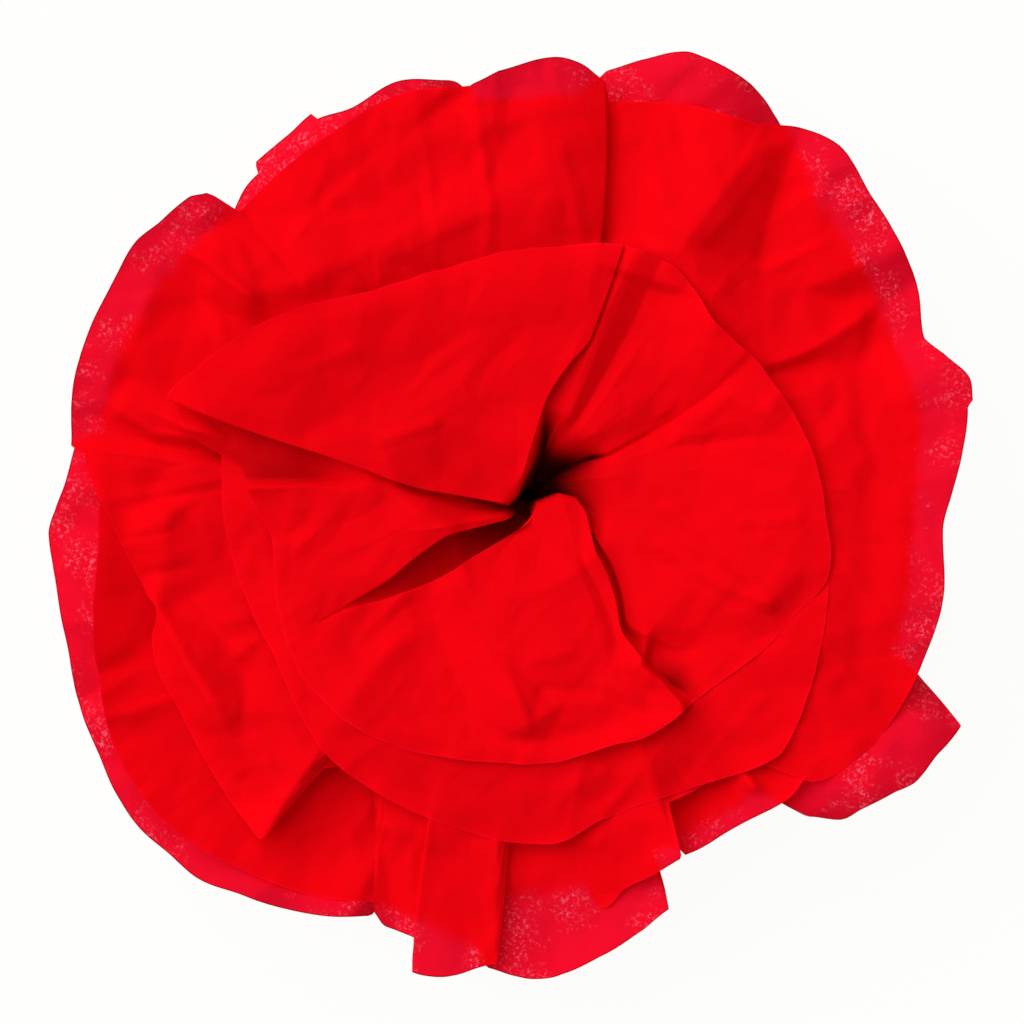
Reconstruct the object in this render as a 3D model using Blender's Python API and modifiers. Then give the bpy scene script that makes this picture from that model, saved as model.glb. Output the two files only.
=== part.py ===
"""Paper poppy: five tissue discs, gathered together at the middle into a short neck, and a wire turned round the neck.

The flower lies face up. Its origin is the middle of the flat end of the neck, +Z is the way the flower faces, and
+Y is its top. Tables are in degrees round the clock, anticlockwise from +X, and in millimetres.
"""

import math
from collections import namedtuple

import bmesh
import bpy
from mathutils import Vector
from mathutils.bvhtree import BVHTree

MM = 0.001
TURN = 360.0

# The paper. Each sheet is modelled this thick, and the gathered necks keep this clearance to each other.
PAPER = 0.3
NECK_CLEARANCE = 0.4
# Least air between two sheets away from the neck, and the reach where it starts.
AIR = 1.5
AIR_FROM = 10.0
# Most passes that lay one sheet over the one behind it.
SETTLE_ROUNDS = 5

# The gathered neck: the innermost sheet's radius there, and the share of the neck's end that is flat to rest on.
CORE_RADIUS = 1.7
FLAT_SHARE = 0.75
# How far the throat reaches: its gathers are even at the neck, and have turned into tucked lobes here.
TUCK_REACH = 9.0
# The rings of each sheet crowd towards the neck by this power, and its rim droops by the other.
RING_CROWDING = 1.8
DROOP_POWER = 1.5
# Folds closer than this share spokes as if they were this far apart.
LEAST_SPAN = 2.5

# The wire round the neck.
WIRE_DIAMETER = 1.0
WIRE_TURNS = 3
WIRE_LOWEST = 6.0
WIRE_GAP = 0.35
WIRE_CLEARANCE = 0.3
WIRE_BEVEL_RESOLUTION = 2
WIRE_POINTS_PER_TURN = 12

RED = (0.80, 0.0, 0.006, 1.0)
WIRE_GREEN = (0.05, 0.16, 0.05, 1.0)

# A fold is a line from the throat of a sheet over its waist to its rim. A lift raises it above the sheet's own level
# there. A fold without an angle and lift for the throat runs straight in from the waist and ends level.
Fold = namedtuple("Fold", "waist_angle rim_angle waist_lift rim_lift tuck_angle tuck_lift", defaults=(None, None))
# A ridge runs across a sheet between two plan points and slopes away to both sides.
Ridge = namedtuple("Ridge", "x1 y1 x2 y2 lift width")
Sheet = namedtuple(
    "Sheet",
    "name order neck_top crest run waist rim_height outline folds ridges spokes rings",
)

# Each outline is a list of runs of the cut rim, as (angle, reach). The rim is smooth along a run and steps between runs.
FRONT_OUTLINE = [
    [(308, 66), (310, 75), (314, 79), (320, 79), (330, 75), (346, 69), (0, 66.5), (12, 67), (27, 64.5), (41, 61.5),
     (52, 64), (61, 65), (69, 64)],
    [(69, 64), (85, 59.5), (97, 58), (110, 57), (122, 59.5), (132, 65), (143, 74), (153, 82), (160, 87.5), (164.5, 91.5)],
    [(164.5, 91.5), (170, 84), (174, 72), (178, 69), (183, 67), (189, 64), (197, 64), (203, 67), (211, 69), (218, 71),
     (231, 71), (243, 69.5), (254, 67), (264, 66), (271, 66.5), (280, 71.5), (289, 74)],
    [(290.5, 74), (295, 70), (306.5, 64.5)],
]
INNER_OUTLINE = [
    [(282.5, 81.5), (292, 81), (301, 83), (312.5, 88), (316, 88), (323.5, 84.5), (337, 79), (346, 75.5), (3, 71),
     (13, 68.5), (27, 65), (42, 62), (58, 66), (70, 65), (85, 60.5), (97, 59.3), (109, 58.6), (121, 60.5), (130, 63.5),
     (144, 72), (156, 78), (166, 79), (174, 75.5)],
    [(176, 75.2), (184, 75.2), (190, 74.5), (200, 73.7), (211, 74), (217, 75), (223, 77), (230, 80), (238, 81.5),
     (248, 82.5), (255, 83), (260, 84.2), (265.5, 85.4), (271, 86), (275.5, 85.5), (282.5, 81.5)],
]
MIDDLE_OUTLINE = [
    [(294.5, 83), (305, 84), (311, 88), (315, 99.5), (321, 103), (329, 105), (340, 105), (345.5, 104.5), (355, 102),
     (359.5, 103.5), (5, 106.5), (11.5, 110)],
    [(12, 111.5), (15, 112), (18, 108.5), (21.5, 105)],
    [(21.5, 105), (28, 109), (33.5, 110.5), (41, 112), (46, 114.5), (49, 115), (53.5, 113), (57.5, 109)],
    [(58, 107.5), (64.5, 105), (71.5, 102.5), (78.5, 99.5)],
    [(79.5, 104), (83, 107), (87, 107.7), (94, 104.5), (97.5, 102)],
    [(98, 101.5), (108, 103.5), (117, 101.5), (124, 100.5), (135.5, 99.5)],
    [(136.5, 108), (138.5, 110.5), (143.5, 112.5), (147, 114.6), (152, 114.6), (159, 115), (164.5, 115.5), (168, 115),
     (174, 113.5)],
    [(174.5, 110), (179.5, 106.3), (183.5, 103), (188, 100), (195, 97), (197.5, 95.8), (201, 99.4), (205, 100.7),
     (211, 101), (217.5, 102.4), (223.5, 104.2), (229.5, 106.2), (232.4, 107.2)],
    [(233, 84), (237, 79), (242, 80)],
    [(243.5, 84.6), (247.5, 98), (249.5, 108)],
    [(250, 110), (251.5, 112), (253, 112.3), (255.6, 112.5)],
    [(256.4, 120.6), (258, 120.6), (261, 119.5), (265.3, 116), (266.3, 115.8)],
    [(267, 82), (271, 79), (275.5, 81)],
    [(276.7, 88.5), (280, 103), (284, 99.7), (288, 98), (293, 96.5)],
]
OUTER_OUTLINE = [
    [(293.5, 96.5), (297, 96.5), (303.5, 96.5), (311, 98), (316, 97), (330, 99), (345, 96), (0, 95), (12, 98), (25, 98),
     (45, 101), (62, 98), (78, 95), (95, 94), (110, 97), (130, 96), (145, 103), (160, 106), (172, 107)],
    [(174, 106), (183.5, 105.5), (189, 107), (194, 110), (204, 115), (211, 119), (220.5, 120.3), (227.5, 118.3),
     (233, 116), (239.5, 113), (244.5, 110.3), (249, 107.5), (256, 108), (263, 112)],
    [(265, 117), (269, 119), (271, 119.5), (274, 118.6), (279, 114.8), (285, 110.7), (289, 107.5)],
    [(289.6, 93), (292.8, 93)],
]
BACK_OUTLINE = [
    [(335, 107.5), (338, 93), (350, 90), (10, 92), (30, 96), (46, 102)],
    [(50, 107), (57, 113), (61.5, 116.5), (68.5, 117.5), (71, 117), (75, 112.5), (79.5, 107.5)],
    [(83, 99), (97, 98), (99.5, 105), (102.5, 106.5), (107.5, 108), (114.5, 105.6), (119.4, 107)],
    [(119.6, 109), (123, 108), (127, 107.7), (129.5, 107.7)],
    [(129.8, 105), (133, 104.5), (138, 102), (150, 104), (162, 104), (171, 106)],
    [(174, 113.5), (178, 114.6), (182, 117.7), (184.5, 119.5), (193, 119.6), (198, 120.4), (204, 123), (211.5, 125.2),
     (216.5, 126.7), (220.5, 127.5), (225, 126.2), (229.5, 125.3), (234, 121.5), (239, 118.6), (244, 115.3),
     (249.5, 111)],
    [(252, 101), (270, 99), (290, 93), (308, 92)],
    [(311, 105), (314, 111), (317, 112.5), (321, 115.5), (323.5, 118.3), (327.5, 119), (330, 120.2), (332, 120.8)],
]

# Five gathers run out from the throat of the front sheet, and its lobes are tucked in round a deep pocket beside the
# throat. Where a fold lies over the next, its hidden line is listed beyond its edge, so the paper doubles back under it.
FRONT_FOLDS = [
    Fold(34, 34, -9, -2, 66, -5), Fold(27.5, 30.5, 1.5, 0.5, 60, -1), Fold(44, 44, 1, 1, 68, -2),
    Fold(57, 57, 0, 1, 74, -3), Fold(66, 64.5, -11, -6, 80, -5), Fold(71, 66.5, -4, -1, 84, -5),
    Fold(86, 72, -12, -4, 94, -5), Fold(80, 68.6, 4, 3, 87, 7), Fold(97, 85, 5, 2, 105, 6),
    Fold(120, 110, 5.5, 1, 128, 6), Fold(148, 138, 5, 1, 150, 6), Fold(168, 157, 3.5, 1, 178, 6),
    Fold(178, 168, 2, 2, 199, 6.5), Fold(172, 165, -12, -7, 191, -4), Fold(190, 177, -7, -5, 204, -4),
    Fold(200, 190, -1, -3, 210, -4), Fold(206, 211.5, 1.5, 0, 216, -2), Fold(225, 215.5, -12, -2, 231, -5),
    Fold(221, 213.5, 3, 0.5, 226, 4), Fold(234, 230, 4, 0.5, 242, 5), Fold(258, 255, 4.5, 1, 264, 5),
    Fold(285, 280, 3.5, 2, 292, 5), Fold(304, 292, 1, 3, 325, 5), Fold(320, 303, 1.5, 3, 354, 6),
    Fold(313, 299, -13, -9, 346, -5), Fold(334, 318, -4, -3, 2, -5), Fold(352, 345, 1.5, -1, 16, -6),
    Fold(10, 8, 2.5, -1, 34, -6), Fold(22, 22, 0, -1, 52, -6),
]
INNER_FOLDS = [
    Fold(35, 33, -8, 0), Fold(30, 30, -1, 0), Fold(44, 44, 0, 0), Fold(58, 58, -2, -1), Fold(66, 66, -8, -2),
    Fold(83, 74, -9, -2), Fold(90, 86, 0, 0), Fold(120, 112, 1, 0), Fold(150, 142, 1, 0), Fold(164, 158, 0, 0),
    Fold(172, 170, -10, -9), Fold(177, 176, -10, -9), Fold(188, 181, -6, -3), Fold(200, 192, -2, -3),
    Fold(207, 205, -2, 1), Fold(212, 214, -8, 3), Fold(219, 222, -8, 4), Fold(226, 230, 0, 4),
    Fold(240, 240, 0, 2), Fold(255, 252, 0, -1.5), Fold(270, 264, -1, -2), Fold(280, 275, -1, -1.5),
    Fold(288, 283, -2, -3), Fold(300, 292, -5, -4.5), Fold(308, 302, -9, -1.5), Fold(320, 313, -11, 1.5),
    Fold(334, 325, -7, 2), Fold(352, 345, -2, 2.5), Fold(10, 8, -1, 1.5),
]
MIDDLE_FOLDS = [
    Fold(8, 11.7, 1.5, 4), Fold(18, 18, 0.5, 3), Fold(26.5, 22, -1, 0), Fold(30, 28.5, 0, 0), Fold(38, 31, 0, 0),
    Fold(45, 42, 0, 1), Fold(48, 53, 0, 0), Fold(57.7, 57.8, 0, 1), Fold(66, 68, 0, 0), Fold(75.5, 80.2, -5, -4),
    Fold(73, 79, 0.5, 0), Fold(84, 88, 1, 1), Fold(99, 97.8, 0, 1), Fold(112, 109, 0, 0),
    Fold(126, 122, 0, 0), Fold(137, 134.5, 1, 1), Fold(146, 146, 1, 2), Fold(155, 156, 1, 2),
    Fold(164, 161, 1, 1), Fold(172, 164.5, 1, 1), Fold(170, 170, -7, -5), Fold(176, 175, -6, -2),
    Fold(179, 181, 0, 0), Fold(184, 187, 0, 0), Fold(194, 197, -1.5, -3.5), Fold(205, 205, -1, -2),
    Fold(217, 217, 0.5, 1.5), Fold(231, 232.4, 2, 5), Fold(236, 237, -4, -5), Fold(243, 249.4, -4, -3.5),
    Fold(252.5, 256.2, -2, -2), Fold(250.5, 255.8, 1, 1), Fold(264.5, 266.2, 1, 1), Fold(271, 271, -5, -5),
    Fold(276.5, 280, -2, -2), Fold(285, 287, 0, 1), Fold(293, 293.4, 1.5, 3.5), Fold(301, 303, 0, 0),
    Fold(315, 318, 1, 3), Fold(332, 335, 2, 5), Fold(350, 352, 2, 5),
]
OUTER_FOLDS = [
    Fold(0, 0, 1, 4), Fold(20, 20, 0, 0), Fold(40, 40, 0, 0), Fold(60, 60, 0, -1), Fold(80, 80, -1, -2),
    Fold(100, 100, 0, 0), Fold(122, 122, 0, 0), Fold(140, 140, 0, 1), Fold(158, 158, 0, 1), Fold(172, 172, 0, 0),
    Fold(178, 178, -1, 4), Fold(192, 192, -2, 5), Fold(204, 204, -2, 3), Fold(215, 215, -2, 1),
    Fold(228, 228, -2, 0), Fold(240, 240, -4, -4), Fold(252, 252, -3, -3), Fold(266, 266, -3, -5),
    Fold(280, 280, 0, 0), Fold(291, 291, 0, 3), Fold(302, 302, 0, 1), Fold(314, 314, 1, 3), Fold(336, 336, 1, 5),
]
BACK_FOLDS = [
    Fold(0, 0, 0, -3), Fold(25, 25, 0, -13), Fold(46, 46, 0, 2), Fold(62, 62, 1, 22), Fold(78, 79, 0, 20),
    Fold(90, 90, 0, -13), Fold(105, 105, 0, 18), Fold(121, 120, 0, 20), Fold(133, 133, 0, 10), Fold(152, 152, 0, -13),
    Fold(168, 168, 0, 12), Fold(178, 178, 0, 24), Fold(188, 188, 0, 26), Fold(200, 200, 0, 20), Fold(212, 212, 0, 14),
    Fold(224, 224, 0, 13), Fold(236, 236, 0, 19), Fold(248, 248, 0, 25), Fold(254, 254, 0, 18), Fold(272, 272, 0, -13),
    Fold(290, 290, 0, -8), Fold(303, 303, 3, 24), Fold(318, 319, 9, 38), Fold(331, 332, 9, 37), Fold(344, 344, 1, 0),
]
INNER_RIDGES = [Ridge(40.5, -52, 18, -79.5, 3, 9)]
MIDDLE_RIDGES = [
    Ridge(-19.5, 100, -66, 55, 4, 16),
    Ridge(-91, -28, -78, -50, 3, 9),
]

SHEETS = [
    Sheet("front_sheet", 0, 24, 55.5, 14, 22, 56.5, FRONT_OUTLINE, FRONT_FOLDS, [], 60, (5, 4)),
    Sheet("inner_sheet", 1, 20, 50, 20, 22, 53, INNER_OUTLINE, INNER_FOLDS, INNER_RIDGES, 52, (4, 4)),
    Sheet("middle_sheet", 2, 17.5, 46.5, 24, 62, 48.5, MIDDLE_OUTLINE, MIDDLE_FOLDS, MIDDLE_RIDGES, 72, (4, 4)),
    Sheet("outer_sheet", 3, 15.5, 39, 26, 78, 43.5, OUTER_OUTLINE, OUTER_FOLDS, [], 53, (3, 3)),
    Sheet("back_sheet", 4, 13.5, 29, 26, 78, 14, BACK_OUTLINE, BACK_FOLDS, [], 58, (3, 3)),
]


def neck_radius(sheet):
    return CORE_RADIUS + sheet.order * (PAPER + NECK_CLEARANCE)


def neck_end(sheet):
    """Height of the middle of the sheet's paper where it crosses the end of the neck."""
    return PAPER / 2 + (len(SHEETS) - 1 - sheet.order) * (PAPER + NECK_CLEARANCE)


def mixed(a, b, share):
    return a + (b - a) * share


def eased(share):
    share = min(max(share, 0.0), 1.0)
    return share * share * (3 - 2 * share)


def curve_through(before, start, end, after, share):
    """Catmull-Rom value between start and end."""
    return 0.5 * (
        2 * start
        + (end - before) * share
        + (2 * before - 5 * start + 4 * end - after) * share**2
        + (3 * start - before - 3 * end + after) * share**3
    )


def unwrapped(outline):
    """The runs of an outline with their angles growing all the way round."""
    runs, last = [], None
    for run in outline:
        grown = []
        for angle, reach in run:
            while last is not None and angle < last - TURN / 2:
                angle += TURN
            last = angle
            grown.append((angle, reach))
        runs.append(grown)
    return runs


def reach_at(runs, angle):
    """Reach of the rim at an angle, from unwrapped runs."""
    first = runs[0][0][0]
    angle = first + (angle - first) % TURN
    before_end = runs[-1][-1]
    for run in runs:
        if angle < run[0][0]:
            return between(before_end, run[0], angle)
        for i in range(len(run) - 1):
            if angle <= run[i + 1][0]:
                near = (run[max(i - 1, 0)], run[i], run[i + 1], run[min(i + 2, len(run) - 1)])
                share = (angle - run[i][0]) / max(run[i + 1][0] - run[i][0], 1e-6)
                return curve_through(*(point[1] for point in near), share)
        before_end = run[-1]
    return between(before_end, (first + TURN, runs[0][0][1]), angle)


def between(start, end, angle):
    share = (angle - start[0]) / max(end[0] - start[0], 1e-6)
    return mixed(start[1], end[1], min(max(share, 0.0), 1.0))


def signed_step(start, end):
    return (end - start + TURN / 2) % TURN - TURN / 2


def to_the_throat(fold):
    """The fold with its own angle and lift at the throat, or those of a straight run in from the waist."""
    return fold if fold.tuck_angle is not None else fold._replace(tuck_angle=fold.waist_angle, tuck_lift=0)


def spokes_of(sheet):
    """One Fold for each spoke: the sheet's own folds, with plain spokes spaced between them."""
    folds, spokes = [to_the_throat(fold) for fold in sheet.folds], []
    steps = [signed_step(a.rim_angle, b.rim_angle) for a, b in zip(folds, folds[1:] + folds[:1])]
    spans = [max(abs(step), LEAST_SPAN) for step in steps]
    done, passed = 0, 0.0
    for number, (fold, span, step) in enumerate(zip(folds, spans, steps)):
        following = folds[(number + 1) % len(folds)]
        passed += span
        count = max(1, round(sheet.spokes * passed / sum(spans)) - done)
        done += count
        waist_step = signed_step(fold.waist_angle, following.waist_angle)
        tuck_step = signed_step(fold.tuck_angle, following.tuck_angle)
        for k in range(count):
            share = k / count
            spokes.append(
                Fold(
                    fold.waist_angle + waist_step * share,
                    fold.rim_angle + step * share,
                    mixed(fold.waist_lift, following.waist_lift, share),
                    mixed(fold.rim_lift, following.rim_lift, share),
                    fold.tuck_angle + tuck_step * share,
                    mixed(fold.tuck_lift, following.tuck_lift, share),
                )
            )
    return spokes


def snapped_to_corners(sheet, spokes, runs):
    """Plain spokes next to a corner of the outline end exactly at it."""
    kept = {fold.rim_angle % TURN for fold in sheet.folds}
    taken = set()
    for angle in [end[0] for run in runs for end in (run[0], run[-1])]:
        free = [
            (abs(signed_step(spoke.rim_angle, angle)), i)
            for i, spoke in enumerate(spokes)
            if i not in taken and spoke.rim_angle % TURN not in kept
        ]
        distance, i = min(free)
        if distance < TURN / sheet.spokes:
            taken.add(i)
            old = spokes[i].rim_angle
            spokes[i] = spokes[i]._replace(rim_angle=old + signed_step(old, angle))
    return spokes


def ridge_lift(ridges, x, y):
    """Height that the ridges add at a plan point."""
    total = 0.0
    for ridge in ridges:
        along = Vector((ridge.x2 - ridge.x1, ridge.y2 - ridge.y1))
        here = Vector((x - ridge.x1, y - ridge.y1))
        share = min(max(here.dot(along) / along.length_squared, 0.0), 1.0)
        total += ridge.lift * max(0.0, 1 - (here - along * share).length / ridge.width)
    return total


def level(sheet, reach):
    """Height of the unfolded sheet at a reach from the axis."""
    rise = 1 - math.exp(-(reach - neck_radius(sheet)) / sheet.run)
    return mixed(sheet.neck_top, sheet.crest, rise)


def on_circle(reach, angle, height):
    return Vector((reach * math.cos(math.radians(angle)), reach * math.sin(math.radians(angle)), height))


def with_ridges(sheet, point):
    point.z += ridge_lift(sheet.ridges, point.x, point.y)
    return point


def cup_point(sheet, spoke, even_angle, reach):
    """A point between the neck and the waist, where the spokes turn from even gathers into tucked lobes and folds."""
    radius = neck_radius(sheet)
    tucked = min((reach - radius) / (TUCK_REACH - radius), 1.0)
    opened = max((reach - TUCK_REACH) / (sheet.waist - TUCK_REACH), 0.0)
    angle = even_angle + signed_step(even_angle, spoke.tuck_angle) * eased(tucked)
    angle += signed_step(spoke.tuck_angle, spoke.waist_angle) * opened
    height = level(sheet, reach) + mixed(spoke.tuck_lift * math.sqrt(tucked), spoke.waist_lift, opened)
    return with_ridges(sheet, on_circle(reach, angle, height))


def outer_point(sheet, spoke, rim, share):
    """A point on a spoke at a share of the way from the waist to the rim."""
    reach = mixed(sheet.waist, rim, share)
    droop = (sheet.rim_height - level(sheet, rim)) * share**DROOP_POWER
    height = level(sheet, reach) + droop + mixed(spoke.waist_lift, spoke.rim_lift, share)
    return with_ridges(sheet, on_circle(reach, mixed(spoke.waist_angle, spoke.rim_angle, share), height))


def sheet_rings(sheet):
    """Rings of points, from the end of the neck out to the rim."""
    runs = unwrapped(sheet.outline)
    spokes = snapped_to_corners(sheet, spokes_of(sheet), runs)
    rims = [reach_at(runs, spoke.rim_angle) for spoke in spokes]
    even = [spokes[0].waist_angle + TURN * i / len(spokes) for i in range(len(spokes))]
    radius, (cup_rings, outer_rings) = neck_radius(sheet), sheet.rings
    rings = [[on_circle(radius, angle, height) for angle in even] for height in (neck_end(sheet), sheet.neck_top)]
    if sheet is SHEETS[-1]:
        rings.insert(0, [on_circle(FLAT_SHARE * radius, angle, neck_end(sheet)) for angle in even])
    for j in range(1, cup_rings):
        reach = mixed(radius, sheet.waist, (j / cup_rings) ** RING_CROWDING)
        rings.append([cup_point(sheet, spoke, angle, reach) for spoke, angle in zip(spokes, even)])
    for j in range(outer_rings + 1):
        rings.append([outer_point(sheet, spoke, rim, j / outer_rings) for spoke, rim in zip(spokes, rims)])
    return rings


def ring_faces(rings):
    """Quads between the rings, as indexes into the rings laid end to end."""
    count = len(rings[0])
    return [
        (j * count + i, j * count + (i + 1) % count, (j + 1) * count + (i + 1) % count, (j + 1) * count + i)
        for j in range(len(rings) - 1)
        for i in range(count)
    ]


def triangle_faces(rings):
    return [tri for a, b, c, d in ring_faces(rings) for tri in ((a, b, c), (a, c, d))]


def lay_over(upper, lower):
    """Raises points of the upper sheet until it clears the lower one, looking down from it and up to it."""
    down, up, far = Vector((0, 0, -1)), Vector((0, 0, 1)), 4 * max(sheet.crest for sheet in SHEETS)
    least = PAPER + AIR
    upper_points = [point for ring in upper for point in ring]
    lower_points = [point for ring in lower for point in ring if point.xy.length >= AIR_FROM]
    upper_faces = triangle_faces(upper)
    beneath = BVHTree.FromPolygons([point for ring in lower for point in ring], triangle_faces(lower))
    for _ in range(SETTLE_ROUNDS):
        raised = {}
        for i, point in enumerate(upper_points):
            hit = beneath.ray_cast(point + up * far, down)[0] if point.xy.length >= AIR_FROM else None
            if hit and point.z < hit.z + least:
                raised[i] = hit.z + least - point.z
        above = BVHTree.FromPolygons(upper_points, upper_faces)
        for point in lower_points:
            hit, _, face, _ = above.ray_cast(point - up * far, up)
            if hit and hit.z < point.z + least:
                for i in upper_faces[face]:
                    raised[i] = max(raised.get(i, 0.0), point.z + least - hit.z)
        for i, height in raised.items():
            upper_points[i].z += height
        if not raised:
            break


def settled_sheets():
    """Every sheet's rings, each laid over the one behind it, from the back to the front."""
    placed, behind = {}, None
    for sheet in reversed(SHEETS):
        rings = sheet_rings(sheet)
        if behind is not None:
            lay_over(rings, behind)
        placed[sheet.name] = behind = rings
    return placed


def flat_disc(ring_count, spoke_count):
    """A disc of unit-spaced rings and even spokes, made by turning a straight row of points."""
    bm = bmesh.new()
    row = [bm.verts.new((ring, 0, 0)) for ring in range(ring_count + 1)]
    edges = [bm.edges.new(pair) for pair in zip(row, row[1:])]
    axis = {"cent": (0, 0, 0), "axis": (0, 0, 1), "angle": math.tau}
    bmesh.ops.spin(bm, geom=row + edges, steps=spoke_count, **axis)
    bmesh.ops.remove_doubles(bm, verts=bm.verts[:], dist=0.01)
    bmesh.ops.recalc_face_normals(bm, faces=bm.faces[:])
    return bm


def build_sheet(sheet, rings, collection, material):
    count = len(rings[0])
    bm = flat_disc(len(rings), count)
    for vert in bm.verts:
        ring = round(vert.co.xy.length)
        spoke = round(math.atan2(vert.co.y, vert.co.x) / math.tau * count) % count
        place = rings[ring - 1][spoke] if ring else Vector((0, 0, neck_end(sheet)))
        vert.co = place * MM
    bmesh.ops.triangulate(bm, faces=bm.faces[:])
    mesh = bpy.data.meshes.new(sheet.name)
    bm.to_mesh(mesh)
    bm.free()
    obj = bpy.data.objects.new(sheet.name, mesh)
    collection.objects.link(obj)
    mesh.materials.append(material)
    solid = obj.modifiers.new("paper", "SOLIDIFY")
    solid.thickness = PAPER * MM
    solid.offset = 0
    return obj


def build_tie(collection, material):
    """A wire wound round the neck of the sheet at the back."""
    radius = neck_radius(SHEETS[-1]) + PAPER / 2 + WIRE_CLEARANCE + WIRE_DIAMETER / 2
    curve = bpy.data.curves.new("neck_tie", "CURVE")
    curve.dimensions = "3D"
    curve.bevel_depth = WIRE_DIAMETER / 2 * MM
    curve.bevel_resolution = WIRE_BEVEL_RESOLUTION
    curve.use_fill_caps = True
    spline = curve.splines.new("POLY")
    spline.points.add(WIRE_TURNS * WIRE_POINTS_PER_TURN)
    for i, point in enumerate(spline.points):
        turn = i / WIRE_POINTS_PER_TURN
        height = WIRE_LOWEST + WIRE_DIAMETER / 2 + (WIRE_DIAMETER + WIRE_GAP) * turn
        point.co = (*(on_circle(radius, TURN * turn, height) * MM), 1)
    obj = bpy.data.objects.new("neck_tie", curve)
    collection.objects.link(obj)
    curve.materials.append(material)
    return obj


def plain_material(name, colour, roughness, metallic=0.0):
    material = bpy.data.materials.new(name)
    material.use_nodes = True
    shader = material.node_tree.nodes["Principled BSDF"]
    shader.inputs["Base Color"].default_value = colour
    shader.inputs["Roughness"].default_value = roughness
    shader.inputs["Metallic"].default_value = metallic
    return material


def main():
    for obj in list(bpy.data.objects):
        bpy.data.objects.remove(obj)
    collection = bpy.data.collections.new("paper_poppy")
    bpy.context.scene.collection.children.link(collection)
    placed = settled_sheets()
    for sheet in SHEETS:
        material = plain_material(sheet.name, RED, 0.75)
        build_sheet(sheet, placed[sheet.name], collection, material)
    build_tie(collection, plain_material("neck_tie", WIRE_GREEN, 0.5, 0.3))


main()
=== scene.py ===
"""Looks of the paper poppy: five gathered discs of red tissue paper and the wire round their neck.

Angles are in degrees, anticlockwise from +X, and lengths in millimetres. Creases that the photograph shows
are placed by its pixels, in the 1024 by 1024 frame. Meshes are made in metres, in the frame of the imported
part. Each sheet is a grid: rings from the neck out to the rim, crossed by spokes. A blur is given in spokes
and rings.
"""

import math
from collections import namedtuple

import bpy
import numpy as np
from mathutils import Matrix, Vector
from mathutils.bvhtree import BVHTree
from mathutils.geometry import delaunay_2d_cdt
from mathutils.kdtree import KDTree


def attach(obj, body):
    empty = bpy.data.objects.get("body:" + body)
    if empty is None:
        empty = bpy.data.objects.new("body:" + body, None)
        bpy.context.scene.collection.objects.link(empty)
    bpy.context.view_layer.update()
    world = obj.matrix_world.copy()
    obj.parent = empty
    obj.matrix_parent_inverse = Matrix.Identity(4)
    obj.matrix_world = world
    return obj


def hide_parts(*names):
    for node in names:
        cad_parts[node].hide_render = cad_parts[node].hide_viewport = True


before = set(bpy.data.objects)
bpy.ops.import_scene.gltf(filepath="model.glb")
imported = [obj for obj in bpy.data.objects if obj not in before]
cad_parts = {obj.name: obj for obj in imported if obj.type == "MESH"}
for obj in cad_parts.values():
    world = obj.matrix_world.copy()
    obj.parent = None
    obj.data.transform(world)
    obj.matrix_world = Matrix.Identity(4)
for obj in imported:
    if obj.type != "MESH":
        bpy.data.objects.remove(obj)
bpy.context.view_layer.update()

MM = 0.001
TURN = 360.0

# The photograph: where the throat lies, what a pixel measures at one height, how high the camera hangs, and
# how far it sees, in metres.
THROAT_PIXEL = (528, 495)
FRAME_PIXELS = 1024
MM_PER_PIXEL = 0.2486
PIXEL_HEIGHT = 39.0
CAMERA_HEIGHT = 1195.0
SENSOR_WIDTH = 36.0
CAMERA_SIGHT = 20.0

# The paper: its thickness, the clearance of the gathered necks, and the least air between two sheets, which
# is kept from a reach outwards.
PAPER = 0.3
NECK_CLEARANCE = 0.4
AIR = 0.5
AIR_FROM = 13.0
# A rim lies closer on the sheet below it than the rest does, over this width.
RIM_AIR = 0.15
RIM_WIDTH = 10.0

# The grids: spokes of every sheet, the least angle between two folds, the steps between two points of an
# outline, and how the rings crowd inside the waist.
SPOKES = 900
LEAST_SPAN = 2.5
OUTLINE_STEPS = 12
CUP_START = 0.2
CUP_CROWDING = 1.25
# A bell curve is cut off at this many times its width.
BELL_REACH = 3
# The folds are rounded over this many rings where they pass a station.
STATION_BLUR = 2

# The gathered neck: the radius of the front sheet's, and the pleats. So many pleated lengths make up the
# neck's, so the pleats end below the throat.
CORE_RADIUS = 1.7
NECK_RINGS = 8
NECK_PLEATS = 19
PLEAT_DEPTH = 0.22
PLEATED_LENGTHS = 1.6

# Where the front sheet's lobes are tucked in, close to the throat, and where its folds pass half-way to the
# rim.
TUCK_REACH = 9.0
MIDDLE_REACH = 40.0
FAR_REACH = 52.0
FAR_SHARE = 0.4
# How far out from the waist the tucked lobes are rounded, and how much.
CUP_FADE = 6
CUP_BLUR = 1.2

# How a sheet sinks or rises to the height of its rim, past the waist.
DROOP_POWER = 1.5
DROOP_MOST = 1.2
EVEN_RIM_BLUR = 14

# Waves of the rim: how far it wanders, how much it curls up and down, and their lengths in degrees.
RIM_WANDER = 0.15
RIM_WAVES = (7, 30)
CURL = 0.5
CURL_WAVES = (14, 50)
CURL_WIDTH = 7
# A notch or flap that steps by more than about this much from the even rim hardly curls.
CURL_STEP = 3
WAVES_ADDED = 9

# The facets between creases come back to the sheet's own level at points in a ring well past every rim.
FACET_END = 170.0
FACET_END_TURN = 30
FACET_BLUR = (1.2, 0.8)
SAME_POINT = 1e-4
LEAST_AREA = 1e-9
# How far a pinched crease slopes away on each side of its line.
PINCH_WIDTH = 2.6

# Painted shade in each pocket beside the throat: the lift below which it starts, how much further down
# it is full, and how far out it reaches.
POCKET_FROM = 2.5
POCKET_DEPTH = 13.0
POCKET_REACH = 85.0
POCKET_FADE = 25.0
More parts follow.
